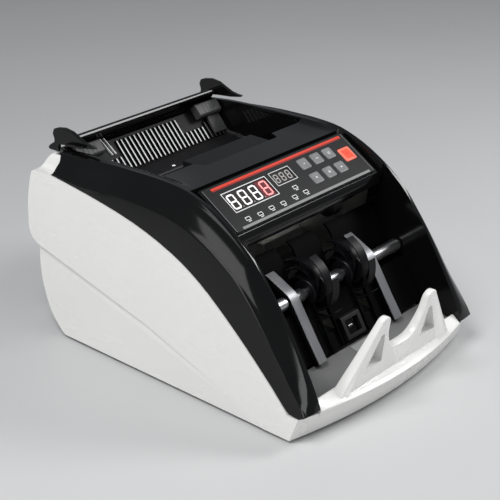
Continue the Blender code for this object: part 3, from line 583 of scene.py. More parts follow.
def leanSides(obj, taper=6.0 / 176.0):
    # the outer sides draw in with height
    for v in obj.data.vertices:
        height = (v.co.z - baseZ) / mm
        share = min(max((abs(v.co.x) / mm - 101.0) / 8.0, 0.0), 1.0)
        v.co.x -= math.copysign(taper * height * share * mm, v.co.x)


# the shafts' axes, as (depth, height), and the middles of the stacking wheels
wheelAxis, outfeedAxis, feedAxis, pickupAxis = (57.0, 79.5), (114.0, 112.0), (172.0, 118.0), (214.0, 122.0)
wheelSpots = (-25.2, 25.2)


# ---- casing and cover

casing = {
    "halfWidth": 120.0, "sideWall": 5.5, "rearFoot": 266.9, "bandBulge": 15.4, "bandTop": 21.7,
    "lipSeat": 18.6, "shelfHeight": 152.0, "shelfCrown": 13.5, "edgeRound": 1.1,
}
cover = {
    "half": 119.0, "wall": 2.6, "pocketHalf": 99.5, "pocketWall": 2.5,
    "bridgeHalf": 95.0, "bridgeTop": 172.8, "bridgeRear": 165.0, "edgeRound": 0.9,
}
seam = [(-8.0, 21.9), (3.0, 23.4), (20.0, 39.5), (40.5, 58.6), (69.5, 83.4), (99.0, 105.3),
        (129.1, 121.3), (172.3, 135.6), (223.9, 145.4), (276.7, 152.4)]
ridge = [(-15.2, 25.5), (-12.3, 33.5), (-6.0, 46.8), (1.4, 60.3), (17.1, 86.9), (34.8, 112.9),
         (55.7, 137.9), (87.6, 160.4), (122.0, 174.0), (150.0, 177.0), (190.0, 176.4),
         (220.0, 175.4), (248.0, 173.6), (266.0, 171.8), (276.7, 170.4)]
rearWall = [(276.0, 7.5), (282.3, 14.7), (288.3, 25.0), (292.2, 35.6), (296.0, 50.0), (297.6, 66.0),
            (297.7, 82.5), (303.4, 86.6), (307.4, 94.0), (308.0, 104.0), (307.5, 121.0),
            (305.4, 135.0), (302.5, 147.0)]
crease = [(297.7, 82.5), (160.7, 48.1), (35.0, 5.5)]
seamStops = [3.0, 8.0, 14.0, 20.0, 27.0, 34.0, 41.0, 50.0, 60.0, 70.0, 80.0, 90.0, 100.0, 110.0, 120.0,
             130.0, 145.0, 160.0, 175.0, 192.0, 210.0, 228.0, 246.0, 262.0]
ridgeStops = ([-15.2, -13.8, -12.3, -10.2, -7.8, -5.0, -2.0] + spread(1.4, 73.0, 20) + [74.5, 75.4, 79.6]
              + spread(86.0, 118.0, 5) + [124.6, 125.6] + spread(134.0, 268.0, 17) + [276.7])


def bandDepth(x, height):
    bow = 1.0 - (x / casing["halfWidth"]) ** 2
    return -casing["bandBulge"] * bow - (0.37 + 0.13 * bow) * height


def rearLean(x):
    inward = 1.0 - min(max((abs(x) - 97.0) / 17.0, 0.0), 1.0)
    inward = inward * inward * (3.0 - 2.0 * inward)
    return 9.0 * inward, casing["shelfCrown"] * inward


def rearLine(back):
    # the rear wall's curve, sampled finely up its height
    flipped = [(h, d) for d, h in rearWall]
    stops = spread(7.5, 78.0, 14) + [81.0, 82.5, 84.5, 87.0, 90.0, 94.0, 99.0] + spread(104.0, 147.0, 8)
    return [(curveThrough(flipped, h) - back * max(0.0, (h - 110.0) / 40.0), h) for h in stops]


def casingOutline(x):
    back, crown = rearLean(x)
    seat = casing["bandTop"] if abs(x) > cover["pocketHalf"] else casing["lipSeat"]
    shelf = casing["shelfHeight"] + crown
    top = [(300.9 - back, shelf - 1.6), (299.2 - back, shelf - 0.3), (297.0 - back, shelf),
           (277.0, shelf + 0.4)]
    upper = [(d, curveThrough(seam, d)) for d in reversed(seamStops[1:])]
    front = [(3.0, seat), (bandDepth(x, seat), seat)]
    low = [(bandDepth(x, 0.0), 0.0), (casing["rearFoot"], 0.0), (271.0, 2.6)]
    return low + rearLine(back) + top + upper + front


def casingRoom(x):
    back, crown = rearLean(x)
    rear = [(d - 3.6 - back * max(0.0, (h - 110.0) / 40.0), h) for d, h in rearWall]
    foot = casing["rearFoot"] - 3.6
    return [(bandDepth(x, 0.0) + 4.0, -8.0), (foot, -8.0), (foot, 0.5), *rear,
            (296.0 - back, 148.0 + crown), (277.4, 148.4 + crown), (277.4, 190.0), (2.4, 190.0),
            (bandDepth(x, casing["bandTop"]) + 4.0, casing["bandTop"] + 8.0)]


def creaseCutter(side):
    outline = [*crease, (20.0, -6.0), (330.0, -6.0), (330.0, 82.5)]
    rings = []
    for inner in (True, False):
        ring = []
        for depth, height in outline:
            inset = 3.2 * min(max((depth - 35.0) / 262.0, 0.0), 1.0)
            x = casing["halfWidth"] + 0.05 - inset if inner else casing["halfWidth"] + 12.0
            ring.append(at(side * x, depth, height))
        rings.append(ring)
    cutter = skin("creaseCutter", rings)
    leanSides(cutter)
    return cutter


def block(name, low, high, edge=0.0):
    return plates(name, level, [rect(low[0], high[0], low[1], high[1])], low[2], high[2], edge)


def whiteCasing():
    edge, inner = cover["pocketHalf"] + 0.2, cover["pocketHalf"] - 0.4
    half = [120.0, 114.0, 111.0, 108.0, 105.0, 102.0, edge, inner, 97.0, 85.0, 70.0, 55.0, 40.0, 25.0, 10.0]
    spots = half + [-s for s in reversed(half)]
    shell = skin("whiteCasing", [[at(x, d, h) for d, h in casingOutline(x)] for x in spots])
    leanSides(shell)
    reach = casing["halfWidth"] - casing["sideWall"]
    places = [-reach, -97.0, -70.0, -35.0, 0.0, 35.0, 70.0, 97.0, reach]
    room = skin("casingRoom", [[at(x, d, h) for d, h in casingRoom(x)] for x in places])
    leanSides(room)
    carve(shell, room)
    carve(shell, block("hopperClearance", (-98.2, 200, 100), (98.2, 286, 220)))
    for side in (-1, 1):
        carve(shell, creaseCutter(side))
    carve(shell, block("connectorOpening", (-84, 262, 13), (-22, 320, 49)))
    shell.data.shade_smooth()
    shell.data.set_sharp_from_angle(angle=math.radians(24.0))
    soften(shell, casing["edgeRound"], 3, 30.0)
    put(shell, "white", nodes=("lower_casing",))


def bridgeHeight(depth):
    if depth < 79.0:
        return 138.2
    if depth < 125.0:
        return 139.3 + (depth - 82.6) * math.tan(panelAngle)
    return cover["bridgeTop"]


# how far the wing's outer side falls away: (distance from the middle, share of the fall to its crease)
# and that fall in millimetres at each depth
wingFall = [(99.0, 0.05), (102.0, 0.0), (105.0, 0.03), (108.0, 0.12), (111.0, 0.28), (113.5, 0.49),
            (115.5, 0.71), (117.0, 0.93), (117.8, 1.03), (118.6, 1.12), (119.0, 1.25)]
creaseFall = [(-15.2, 1.6), (-8.0, 5.0), (10.0, 11.0), (42.0, 16.0), (60.0, 19.5), (90.0, 24.0), (130.0, 27.5),
              (276.7, 27.5)]


def smooth(low, high, value):
    t = min(max((value - low) / (high - low), 0.0), 1.0)
    return t * t * (3.0 - 2.0 * t)


def straightThrough(points, spot):
    for (x0, y0), (x1, y1) in zip(points, points[1:]):
        if spot <= x1:
            break
    return y0 + (y1 - y0) * min(max((spot - x0) / (x1 - x0), 0.0), 1.0)


def wingDrop(x, depth, room):
    # the front of each wing has a crease along its side; towards the rear it turns into one slanted face
    dome = straightThrough(wingFall, abs(x)) * straightThrough(creaseFall, depth)
    dome = room * (1.0 - math.exp(-dome / room))
    slant = room * min(max((abs(x) - 99.0) / 19.5, 0.0), 1.0)
    share = smooth(190.0, 268.0, depth)
    return dome * (1.0 - share) + slant * share


def coverTop(x, inset):
    line = [(d, curveThrough(ridge, d)) for d in ridgeStops]
    if abs(x) < cover["bridgeHalf"] + 1.5:
        rise = smooth(86.0, 99.0, abs(x))
        flat = [(d, min(h, bridgeHeight(d))) for d, h in line]
        line = [(d, low + (high - low) * rise * smooth(126.0, 140.0, d))
                for (d, high), (_, low) in zip(line, flat)]
        moved = [(d, h - inset) for d, h in line]
        moved[-1] = (284.9 - inset, moved[-1][1])
        return moved
    moved = []
    for (d, h), (d1, h1) in zip(line, offsetLine(line, 1.0)):
        room = max(h - curveThrough(seam, d) - 1.6, 0.6)
        fall = inset + wingDrop(x, d, room)
        moved.append((d + (d1 - d) * fall, h + (h1 - h) * fall))
    return moved


def coverSpots(inset, steps):
    reach = cover["half"] - inset
    turn = [s * reach / cover["half"] for s in steps]
    half = [*turn, 103.6, 101.0, cover["bridgeHalf"] + 2.6 - inset, cover["bridgeHalf"] - inset,
            92.0, 89.0, 86.0, 60.0, 20.0]
    return [-s for s in half] + list(reversed(half))


def coverSkin(x):
    top = coverTop(x, 0.0)
    floor = [(d, curveThrough(seam, d) + gap) for d in reversed([-8.0, -4.0] + seamStops + [276.7])]
    floor[-1] = (max(floor[-1][0], top[0][0] + 0.4), floor[-1][1])
    if abs(x) < cover["bridgeHalf"] + 1.5:
        floor[0] = (284.9, 152.7)
    return top + floor


def coverRoom(x):
    top = coverTop(x, cover["wall"])
    rear = 282.2 if abs(x) < cover["bridgeHalf"] + 1.0 - cover["wall"] else 276.7 - cover["wall"]
    top = [(min(d, rear), h) for d, h in top]
    return top + [(rear, -30.0), (top[0][0], -30.0)]


sideSteps = [119.0, 118.6, 118.2, 117.8, 117.4, 117.0, 116.3, 115.5, 114.5, 113.5, 112.2, 111.0,
             109.5, 108.0, 106.0]


def blackCover():
    shell = skin("blackCover", [[at(x, d, h) for d, h in coverSkin(x)]
                                for x in coverSpots(0.0, sideSteps)], 24.0)
    leanSides(shell)
    room = skin("coverRoom", [[at(x, d, h) for d, h in coverRoom(x)]
                              for x in coverSpots(cover["wall"], (119.0, 116.0, 112.0, 108.0))])
    leanSides(room)
    carve(shell, room)
    crest = offsetLine([(d, curveThrough(ridge, d)) for d in ridgeStops if d < 92.0], 1.2)
    cheek = [*crest[1:], (96.0, 90.0), (62.0, 30.0), (24.0, 25.5), (-10.0, 22.4)]
    for side in (-1, 1):
        inner, outer = cover["pocketHalf"] - 0.3, cover["pocketHalf"] + cover["pocketWall"]
        carve(shell, plates("cheek", sideways, [cheek], side * inner, side * outer), "UNION")
    mouth = [(-60, -10), (-60, 230), (75.4, 230), (75.4, 134.6), (84, 128), (130, 128), (130, -10)]
    carve(shell, plates("mouth", sideways, [mouth], -cover["pocketHalf"], cover["pocketHalf"]))
    carve(shell, block("hopperWell", (-93.6, cover["bridgeRear"], 100), (93.6, 282.7, 240)))
    notch = rounded([(-54.0, 172.0), (-47.0, 154.5), (47.0, 154.5), (54.0, 172.0)], [0, 5, 5, 0])
    carve(shell, plates("thumbNotch", level, [notch], 120, 240))
    hole = [(0, -107.0), (5.2, -107.0), (5.2, 107.0), (0, 107.0)]
    carve(shell, lathe("shaftHoles", hole, wheelAxis, 36))
    shell.data.shade_smooth()
    shell.data.set_sharp_from_angle(angle=math.radians(28.0))
    soften(shell, cover["edgeRound"], 3, 34.0)
    put(shell, "black", nodes=("top_cover",))


whiteCasing()
print("casing made")
blackCover()
print("cover made")


# ---- front: stopper, tray and note pocket

front = {"armRound": 1.3, "armLean": (0.187, 0.262), "windowBack": 1.7}


def leanPlate(obj, frontFace, rearFace):
    # sets the two faces of an upright slab on leaning planes: depth at height 25, and forward lean
    middle = sum(v.co.y for v in obj.data.vertices) / len(obj.data.vertices)
    for v in obj.data.vertices:
        height = (v.co.z - baseZ) / mm
        start, lean = frontFace if v.co.y < middle else rearFace
        v.co.y = at(0, start - (height - 25.0) * lean, 0).y


def armOutline():
    turns = [math.radians(t) for t in range(20, 180, 8)]
    tip = [(32.4 + 6.3 * math.cos(a), 79.4 + 6.3 * math.sin(a)) for a in turns]
    flare = [(25.4, 69.5), (23.4, 63.5), (21.0, 58.8), (18.4, 54.6), (15.0, 51.2), (11.0, 49.2), (6.0, 48.4)]
    right = [(76.2, 27.0), (57.6, 53.0), *tip, *flare]
    return [(76.2, 21.5), *right, *[(-x, h) for x, h in reversed(right)], (-76.2, 21.5)]


def frontStopper():
    half = cover["pocketHalf"] - 0.7
    seat = casing["lipSeat"] + gap
    rings = []
    for x in spread(-half, half, 44):
        lip = [(bandDepth(x, seat), seat), (bandDepth(x, 24.4), 23.7), (bandDepth(x, 24.6) + 0.9, 24.8),
               (-8.4, 29.3), (-7.2, 29.8), (-5.9, 29.4), (-5.2, 28.2), (-4.8, seat)]
        rings.append([at(x, d, h) for d, h in lip])
    lip = skin("frontStopper", rings, 26.0)
    arms = plates("arms", upright, [armOutline()], 0.0, 1.0)
    lean, rearward = front["armLean"]
    leanPlate(arms, (-17.4, lean), (-6.3, rearward))
    baked(soften(arms, front["armRound"], 3, 30.0))
    carve(lip, arms, "UNION")
    for side in (-1, 1):
        pane = rounded([(side * 27.0, 41.0), (side * 49.0, 41.6), (side * 35.4, 69.6), (side * 30.8, 69.6)],
                       [1.6, 1.6, 1.8, 1.8], 4)
        window = plates("window", upright, [pane], 0.0, 1.0)
        leanPlate(window, (-32.0, lean), (-6.3 - front["windowBack"], rearward))
        carve(lip, window)
    lip.data.shade_smooth()
    lip.data.set_sharp_from_angle(angle=math.radians(26.0))
    put(lip, "white", nodes=("stopper",))


stripFoot = (19.0, 35.0)
plateTurn = math.atan2(53.5, 34.0)


def alongStrip(run, lift):
    # a point run up the line that the notes slide down, and lift behind it
    return (stripFoot[0] + run * math.cos(plateTurn) + lift * math.sin(plateTurn),
            stripFoot[1] + run * math.sin(plateTurn) - lift * math.cos(plateTurn))


def thickLine(points, thick):
    return [*points, *reversed(offsetLine(points, thick))]


pocket = {"plateThick": 2.0, "wheelSlot": 8.6, "stripThick": 1.3, "shaft": 5.7, "journal": 4.0}


def notePocket():
    tray = rounded([(26.0, 31.5), (27.0, 29.5), (27.0, 20.0), (25.2, 20.0), (25.2, 29.2), (-4.0, 23.0),
                    (-4.0, 25.0)], [0.8, 0.8, 0, 0, 0.5, 0, 0.4], 3)
    floor = plates("pocketFloor", sideways, [tray], -98.9, 98.9, 0.3)
    put(floor, "tray", nodes=("tray_floor",))
    # the plate behind the pile rises to the shaft and goes on behind it up to the outfeed
    thick = pocket["plateThick"]
    face = [alongStrip(3.0, 6.5), alongStrip(46.0, 6.5), (62.5, 69.5), (72.0, 86.0), (77.5, 98.0),
            (84.0, 108.0), (90.0, 112.0)]
    plate = plates("pocketBack", sideways, [thickLine(face, thick)], -98.7, 98.7)
    for spot in wheelSpots:
        slot = pocket["wheelSlot"]
        carve(plate, block("wheelSlot", (spot - slot, 20.0, 47.0), (spot + slot, 120.0, 140.0)))
    hole = [alongStrip(9.0, -3.0), alongStrip(21.0, -3.0), alongStrip(21.0, 12.0), alongStrip(9.0, 12.0)]
    carve(plate, plates("sensorHole", sideways, [hole], -8.0, 8.0))
    soften(plate, 0.4, 2)
    # the plate takes the near-black of painted shade
    put(plate, "shade", nodes=("stacker_plate",))
    # a dark sheet under the panel stands for painted shade: it closes the view to the outfeed rollers and
    # leaves the slot for the note
    roof = thickLine([(100.0, 123.6), (93.0, 126.2), (86.6, 131.8)], 1.2)
    put(plates("pocketShadeSheet", sideways, [roof], -98.6, 98.6, 0.2), "shade")
    lip = rounded([(11.0, 27.6), (24.0, 30.4), (24.0, 31.6), (11.0, 28.8)], 0.3, 2)
    put(plates("trayTongue", sideways, [lip], -11.0, 11.0, 0.3), "tongue")
    # raised ribs lead the note past each wheel
    rails = []
    for spot in (-17.9, 17.9, -32.5, 32.5):
        line = [alongStrip(4.0, 6.3), alongStrip(4.0, 3.6), alongStrip(46.0, 2.6), alongStrip(52.0, 5.0),
                alongStrip(47.0, 6.3)]
        rails.append(plates("rail", sideways, [rounded(line, 1.0, 3)], spot - 0.9, spot + 0.9, 0.3))
    # the rails take the near-black of painted shade
    put(merge("pocketRails", rails), "shade")
    hood = [alongStrip(5.0, 2.2), alongStrip(25.0, 1.6), alongStrip(27.0, 6.2), alongStrip(5.0, 6.2)]
    shell = plates("sensorHood", sideways, [rounded(hood, 0.8, 3)], -12.5, 12.5)
    port = [alongStrip(8.6, -3.0), alongStrip(21.4, -3.0), alongStrip(21.4, 14.0), alongStrip(8.6, 14.0)]
    carve(shell, plates("port", sideways, [port], -8.4, 8.4))
    soften(shell, 0.7, 2)
    put(shell, "dark", nodes=("sensor_housing",))
    middle = alongStrip(15.0, 8.0)
    lens = [(middle[0] + 2.6 * math.cos(a), middle[1] + 2.6 * math.sin(a)) for a in spread(0.0, math.pi, 10)]
    put(plates("sensorLens", sideways, [lens], -3.0, 3.0, 0.4), "display")


def strips():
    path = [(19.0, 35.4), (30.0, 51.5), (42.0, 70.4), (49.0, 81.2), (50.7, 83.8), (52.6, 86.0), (55.2, 88.0),
            (58.4, 89.7), (63.0, 91.8), (70.0, 95.2), (85.5, 102.2)]
    for name, side in (("left", -1), ("right", 1)):
        low, high = sorted((side * 47.8, side * 58.2))
        strip = plates("strip_" + name, sideways, [thickLine(path, pocket["stripThick"])], low, high, 0.25)
        put(strip, "strip", nodes=("guide_strip_" + name,))
        # black moulded backing that stands under the strip, in the near-black of painted shade
        back = thickLine(offsetLine(path, pocket["stripThick"] + 0.2)[:-1], 3.4)
        low, high = sorted((side * 49.4, side * 59.6))
        put(plates("stripBack_" + name, sideways, [back], low, high, 0.3), "shade")


# a wheel's curved blades: angles in radians, sizes in millimetres
fin = {"count": 7, "lead": 0.72, "sweep": 2.1, "root": 10.6, "reach": 21.4, "rootHalf": 0.95, "tipHalf": 0.34,
       "halfWidth": 4.6}


def wheelFin(k, axis):
    # one thin blade: leaves the hub at the front and winds back over the top to its tip
    start = fin["lead"] + k * 2 * math.pi / fin["count"]
    back, face = [], []
    for share in spread(0.0, 1.0, 18):
        angle = start + fin["sweep"] * (1.0 - share) ** 1.15
        radius = fin["root"] + fin["reach"] * share ** 0.8
        half = fin["rootHalf"] * (1.0 - share) + fin["tipHalf"] * share
        for line, offset in ((back, half), (face, -half)):
            line.append((axis[0] + (radius + offset) * math.cos(angle),
                         axis[1] + (radius + offset) * math.sin(angle)))
    return back + face[::-1]


def impeller():
    axis = wheelAxis
    thick, journal = pocket["shaft"], pocket["journal"]
    profile = [(0.0, -105.0), (journal - 0.4, -105.0), (journal, -104.6)]
    for start, end in ((-97.6, -37.0), (-14.4, 14.4), (37.0, 97.6)):
        profile += [(journal, start), (thick - 0.5, start), (thick, start + 0.5), (thick, end - 0.5),
                    (thick - 0.5, end), (journal, end)]
    profile += [(journal, 104.6), (journal - 0.4, 105.0), (0.0, 105.0)]
    put(lathe("wheelShaft", profile, axis, 64), "shaft", "impeller", ("impeller_shaft",))
    for name, spot in zip(("left", "right"), wheelSpots):
        layers = []
        near, far = spot - fin["halfWidth"], spot + fin["halfWidth"]
        for k in range(fin["count"]):
            layers.append(plates("fin", sideways, [wheelFin(k, axis)], near, far, 0.15))
        hub = [(4.3, spot - 7.0), (10.6, spot - 7.0), (11.4, spot - 6.2), (11.4, spot + 6.2),
               (10.6, spot + 7.0), (4.3, spot + 7.0), (4.3, spot - 7.0)]
        layers.append(lathe("hub", hub, axis, 48))
        web = [(11.0, spot - 1.0), (19.0, spot - 0.7), (19.0, spot + 0.7), (11.0, spot + 1.0),
               (11.0, spot - 1.0)]
        layers.append(lathe("web", web, axis, 64))
        put(merge("finWheel_" + name, layers), "wheel", "impeller", ("stacking_wheel_" + name,))


frontStopper()
notePocket()
strips()
impeller()
print("front made")


# ---- control panel

panel = {
    "half": 92.0, "thick": 7.0, "filmTop": 0.6, "ink": 0.05, "keySize": 11.6, "startSize": 14.6,
    "keyTop": 1.5, "keyDepth": 2.4, "columns": (26.0, 43.6, 60.2), "rows": (34.4, 17.5), "start": (78.6, 26.6),
    "count": (-76.5, -23.2, 18.4, 38.1), "batch": (-16.9, 7.7, 25.1, 38.6),
}
inkLow = panel["filmTop"] + 0.005
inkHigh = inkLow + panel["ink"]
# the seven indicator lamps: place along the panel and up it
lampSpots = ((-71.1, 8.7), (-56.5, 7.9), (-41.6, 8.8), (-27.1, 8.3), (-11.2, 9.1), (3.6, 9.2), (-2.8, 17.1))


def frameLine(window, grow, width):
    # the four bars of a window's printed outline
    x0, x1, y0, y1 = window[0] - grow, window[1] + grow, window[2] - grow, window[3] + grow
    return [rect(x0, x1, y1 - width, y1, 0.2, 2), rect(x0, x1, y0, y0 + width, 0.2, 2),
            rect(x0, x0 + width, y0 + width, y1 - width), rect(x1 - width, x1, y0 + width, y1 - width)]


def segments(left, low, width, height, bar, lean=0.09):
    # the seven bars of a figure eight, leaning a little to the right
    half = bar / 2
    middle = low + height / 2

    def flat(y):
        x0, x1 = left + half, left + width - half
        return [(x0 + 0.15, y), (x0 + half, y + half), (x1 - half, y + half), (x1 - 0.15, y),
                (x1 - half, y - half), (x0 + half, y - half)]

    def tall(x, y0, y1):
        return [(x, y0 + 0.15), (x + half, y0 + half), (x + half, y1 - half), (x, y1 - 0.15),
                (x - half, y1 - half), (x - half, y0 + half)]

    bars = [flat(low + half), flat(middle), flat(low + height - half)]
    for x in (left + half, left + width - half):
        bars.append(tall(x, low + half, middle))
        bars.append(tall(x, middle, low + height - half))
    return [[(x + (y - low) * lean, y) for x, y in outline] for outline in bars]


def keyCap(name, x, up, size, body, node, look):
    half = size / 2
    # the cap's section from its skirt to its slightly hollowed top
    top = panel["keyTop"]
    steps = [(half, -panel["keyDepth"]), (half, panel["filmTop"] + 0.2), (half - 0.12, top - 0.42),
             (half - 0.42, top - 0.08), (half - 0.95, top), (half - 2.4, top - 0.16), (half - 4.2, top - 0.2)]
    rings = []
    for reach, lift in steps:
        corner = max(min(1.5, reach * 0.5), 0.3)
        outline = rect(x - reach, x + reach, up - reach, up + reach, corner, 5)
        rings.append([onPanel(p[0], p[1], lift) for p in outline])
    return put(skin(name, rings, 40.0), look, body, (node,))


def keyMarks(kind, x, up):
    # small generic signs: dot, bar, arrows, plus
    signs = {
        "dot": [rect(x - 0.6, x + 0.6, up - 0.6, up + 0.6, 0.5, 4)],
        "bar": [rect(x - 1.6, x + 1.6, up - 0.3, up + 0.3)],
        "plus": [rect(x - 1.5, x + 1.5, up - 0.28, up + 0.28), rect(x - 0.28, x + 0.28, up + 0.3, up + 1.5),
                 rect(x - 0.28, x + 0.28, up - 1.5, up - 0.3)],
        "up": [[(x - 1.3, up - 0.8), (x + 1.3, up - 0.8), (x, up + 1.1)]],
        "down": [[(x - 1.3, up + 0.8), (x, up - 1.1), (x + 1.3, up + 0.8)]],
        "square": [rect(x - 1.2, x + 1.2, up - 1.2, up - 0.8), rect(x - 1.2, x + 1.2, up + 0.8, up + 1.2),
                   rect(x - 1.2, x - 0.8, up - 0.8, up + 0.8), rect(x + 0.8, x + 1.2, up - 0.8, up + 0.8)],
    }
    return signs[kind]


def controlPanel():
    half = panel["half"]
    tray = plates("panelFrame", onPanel, [rect(-half - 1.6, half + 1.6, 0.0, panelLength, 1.5, 4)],
                  -panel["thick"], 0.0)
    carve(tray, plates("panelRoom", onPanel, [rect(-88.0, 90.0, 3.0, panelLength - 3.0)], -10.0, -1.8))
    film = plates("film", onPanel, [rect(-half + 0.8, half - 0.8, 1.4, panelLength - 1.2, 1.2, 4)],
                  0.1, panel["filmTop"])
    keys = [(f"key_{i + 1}", panel["columns"][i % 3], panel["rows"][i // 3], panel["keySize"])
            for i in range(6)]
    keys.append(("start_key", *panel["start"], panel["startSize"]))
    for target in (tray, film):
        for window in (panel["count"], panel["batch"]):
            shrink = 0.8 if target is film else 0.0
            x0, x1, y0, y1 = window
            hole = rect(x0 + shrink, x1 - shrink, y0 + shrink, y1 - shrink, 0.5, 3)
            carve(target, plates("pane", onPanel, [hole], -9.0, 6.0))
        for _, x, up, size in keys:
            reach = size / 2 + 0.35
            hole = rect(x - reach, x + reach, up - reach, up + reach, 1.7, 5)
            carve(target, plates("keyHole", onPanel, [hole], -9.0, 6.0))
    soften(tray, 0.6, 3)
    soften(film, 0.12, 2)
    put(tray, "black", nodes=("panel_housing",))
    put(film, "film", nodes=("panel_film",))
    put(plates("stripe", onPanel, [rect(-82.0, 87.0, 44.4, 46.5, 0.4, 3)], inkLow, inkHigh), "stripe")
    put(plates("stripeLow", onPanel, [rect(-82.0, 87.0, 43.1, 44.3, 0.4, 3)], inkLow, inkHigh), "stripeDark")
    sides = [rect(-90.9, -90.4, 2.2, panelLength - 2.0), rect(90.4, 90.9, 2.2, panelLength - 2.0)]
    put(plates("filmSides", onPanel, sides, inkLow, inkHigh), "filmEdge")
    put(plates("lowerBar", onPanel, [rect(-83.0, 86.0, 1.7, 4.1, 0.4, 3)], inkLow, inkHigh + 0.25), "silver")
    rim = frameLine(panel["count"], 0.7, 0.75) + frameLine(panel["batch"], 0.6, 0.55)
    put(plates("windowRims", onPanel, rim, inkLow, inkHigh), "mark")
    signs = []
    for x, up in lampSpots:
        signs += [rect(x - 2.8, x + 2.8, up + 1.7, up + 2.3, 0.2, 2),
                  rect(x - 2.8, x + 2.8, up - 1.1, up - 0.5, 0.2, 2),
                  rect(x - 2.8, x - 2.2, up - 0.5, up + 1.7), rect(x + 2.2, x + 2.8, up - 0.5, up + 1.7),
                  rect(x - 1.7, x + 1.9, up - 2.6, up - 1.9, 0.2, 2)]
    put(plates("lampSigns", onPanel, signs, inkLow, inkHigh), "mark")
    lenses = [rect(x - 1.3, x + 1.3, up - 0.3, up + 1.3, 0.3, 3) for x, up in lampSpots]
    put(plates("lampLenses", onPanel, lenses, inkLow, inkHigh + 0.1, 0.04), "display")
    kinds = ("dot", "bar", "square", "down", "plus", "up")
    for i, (name, x, up, size) in enumerate(keys[:-1]):
        keyCap("keyCap_" + str(i + 1), x, up, size, f"button_{i + 1}", name, "key")
        mark = plates("keyMark_" + str(i + 1), onPanel, keyMarks(kinds[i], x, up), panel["keyTop"] - 0.19,
                      panel["keyTop"] - 0.14)
        put(mark, "mark", f"button_{i + 1}")
    name, x, up, size = keys[-1]
    keyCap("startCap", x, up, size, "start_button", name, "start")
    reach, top = 4.9, panel["keyTop"]
    face = rect(x - reach, x + reach, up - reach, up + reach, 1.2, 5)
    put(plates("startFace", onPanel, [face], top - 0.19, top - 0.1), "startFace", "start_button")
    bars = [rect(x - 2.3, x + 2.3, up + 0.5, up + 1.1), rect(x - 1.6, x + 1.6, up - 0.9, up - 0.4)]
    put(plates("startMark", onPanel, bars, top - 0.09, top - 0.05), "stripe", "start_button")


def displays():
    for name in ("count", "batch"):
        x0, x1, y0, y1 = panel[name]
        face = rect(x0 + 0.3, x1 - 0.3, y0 + 0.3, y1 - 0.3, 0.4, 3)
        body = plates(name + "Module", onPanel, [face], -4.0, -0.1, 0.1)
        put(body, "display", nodes=(name + "_display",))
    x0, x1, y0, y1 = panel["count"]
    pitch = (x1 - x0) / 4
    white, red = [], []
    for i in range(4):
        digit = segments(x0 + pitch * i + 1.8, y0 + 2.2, 8.6, y1 - y0 - 4.4, 1.5, 0.05)
        (red if i == 3 else white).extend(digit)
    dots = [rect(end - 1.5, end - 0.5, y0 + 2.2, y0 + 3.2, 0.45, 4) for end in spread(x0, x1, 4)[1:4]]
    put(plates("countDigits", onPanel, white, -0.09, 0.02), "digit")
    put(plates("countDots", onPanel, dots, -0.09, 0.01), "digitSmall")
    glow = rect(x0 + pitch * 3 - 1.0, x1 - 1.0, y0 + 1.0, y1 - 1.0, 0.5, 3)
    put(plates("countGlow", onPanel, [glow], -0.095, -0.06), "digitGlow")
    put(plates("litDigit", onPanel, red, -0.05, 0.03), "digitRed")
    x0, x1, y0, y1 = panel["batch"]
    pitch = (x1 - x0 - 2.0) / 3
    small = []
    for i in range(3):
        small += segments(x0 + 1.9 + pitch * i, y0 + 2.3, 4.9, y1 - y0 - 4.6, 0.9)
    put(plates("batchDigits", onPanel, small, -0.09, 0.0), "digitSmall")


def chin():
    # the cover's lip under the panel, rolled back into the pocket's roof
    line = rounded([(77.4, 146.4), (75.6, 139.0), (77.0, 133.4), (84.6, 129.4), (128.0, 128.4), (128.0, 131.0),
                    (86.0, 132.0), (79.8, 135.4), (78.6, 139.6), (80.4, 144.8)],
                   [0.9, 3.0, 3.0, 3.0, 0.6, 0.6, 2.0, 2.0, 2.0, 0.6], 5)
    put(plates("chin", sideways, [line], -94.9, 94.9, 0.4), "black")


controlPanel()
displays()
chin()
print("panel made")


# ---- hopper

hopper = {"ribPitch": 5.35, "ribRise": 2.4, "ribWidth": 1.25, "crest": 0.35, "earSide": 93.2}


def ribOutline(length, low, high, start=-0.6):
    return rounded([(start, low), (start + 1.0, high), (start + length - 1.0, high), (start + length, low)],
                   [0, 0.4, 0.4, 0], 3)


def onRib(x):
    # plane of one rib: a runs up the ramp, b out of it
    def plane(a, b, c):
        return at(x + c, *slope(rampFoot, rampAngle, a, b))
    return plane


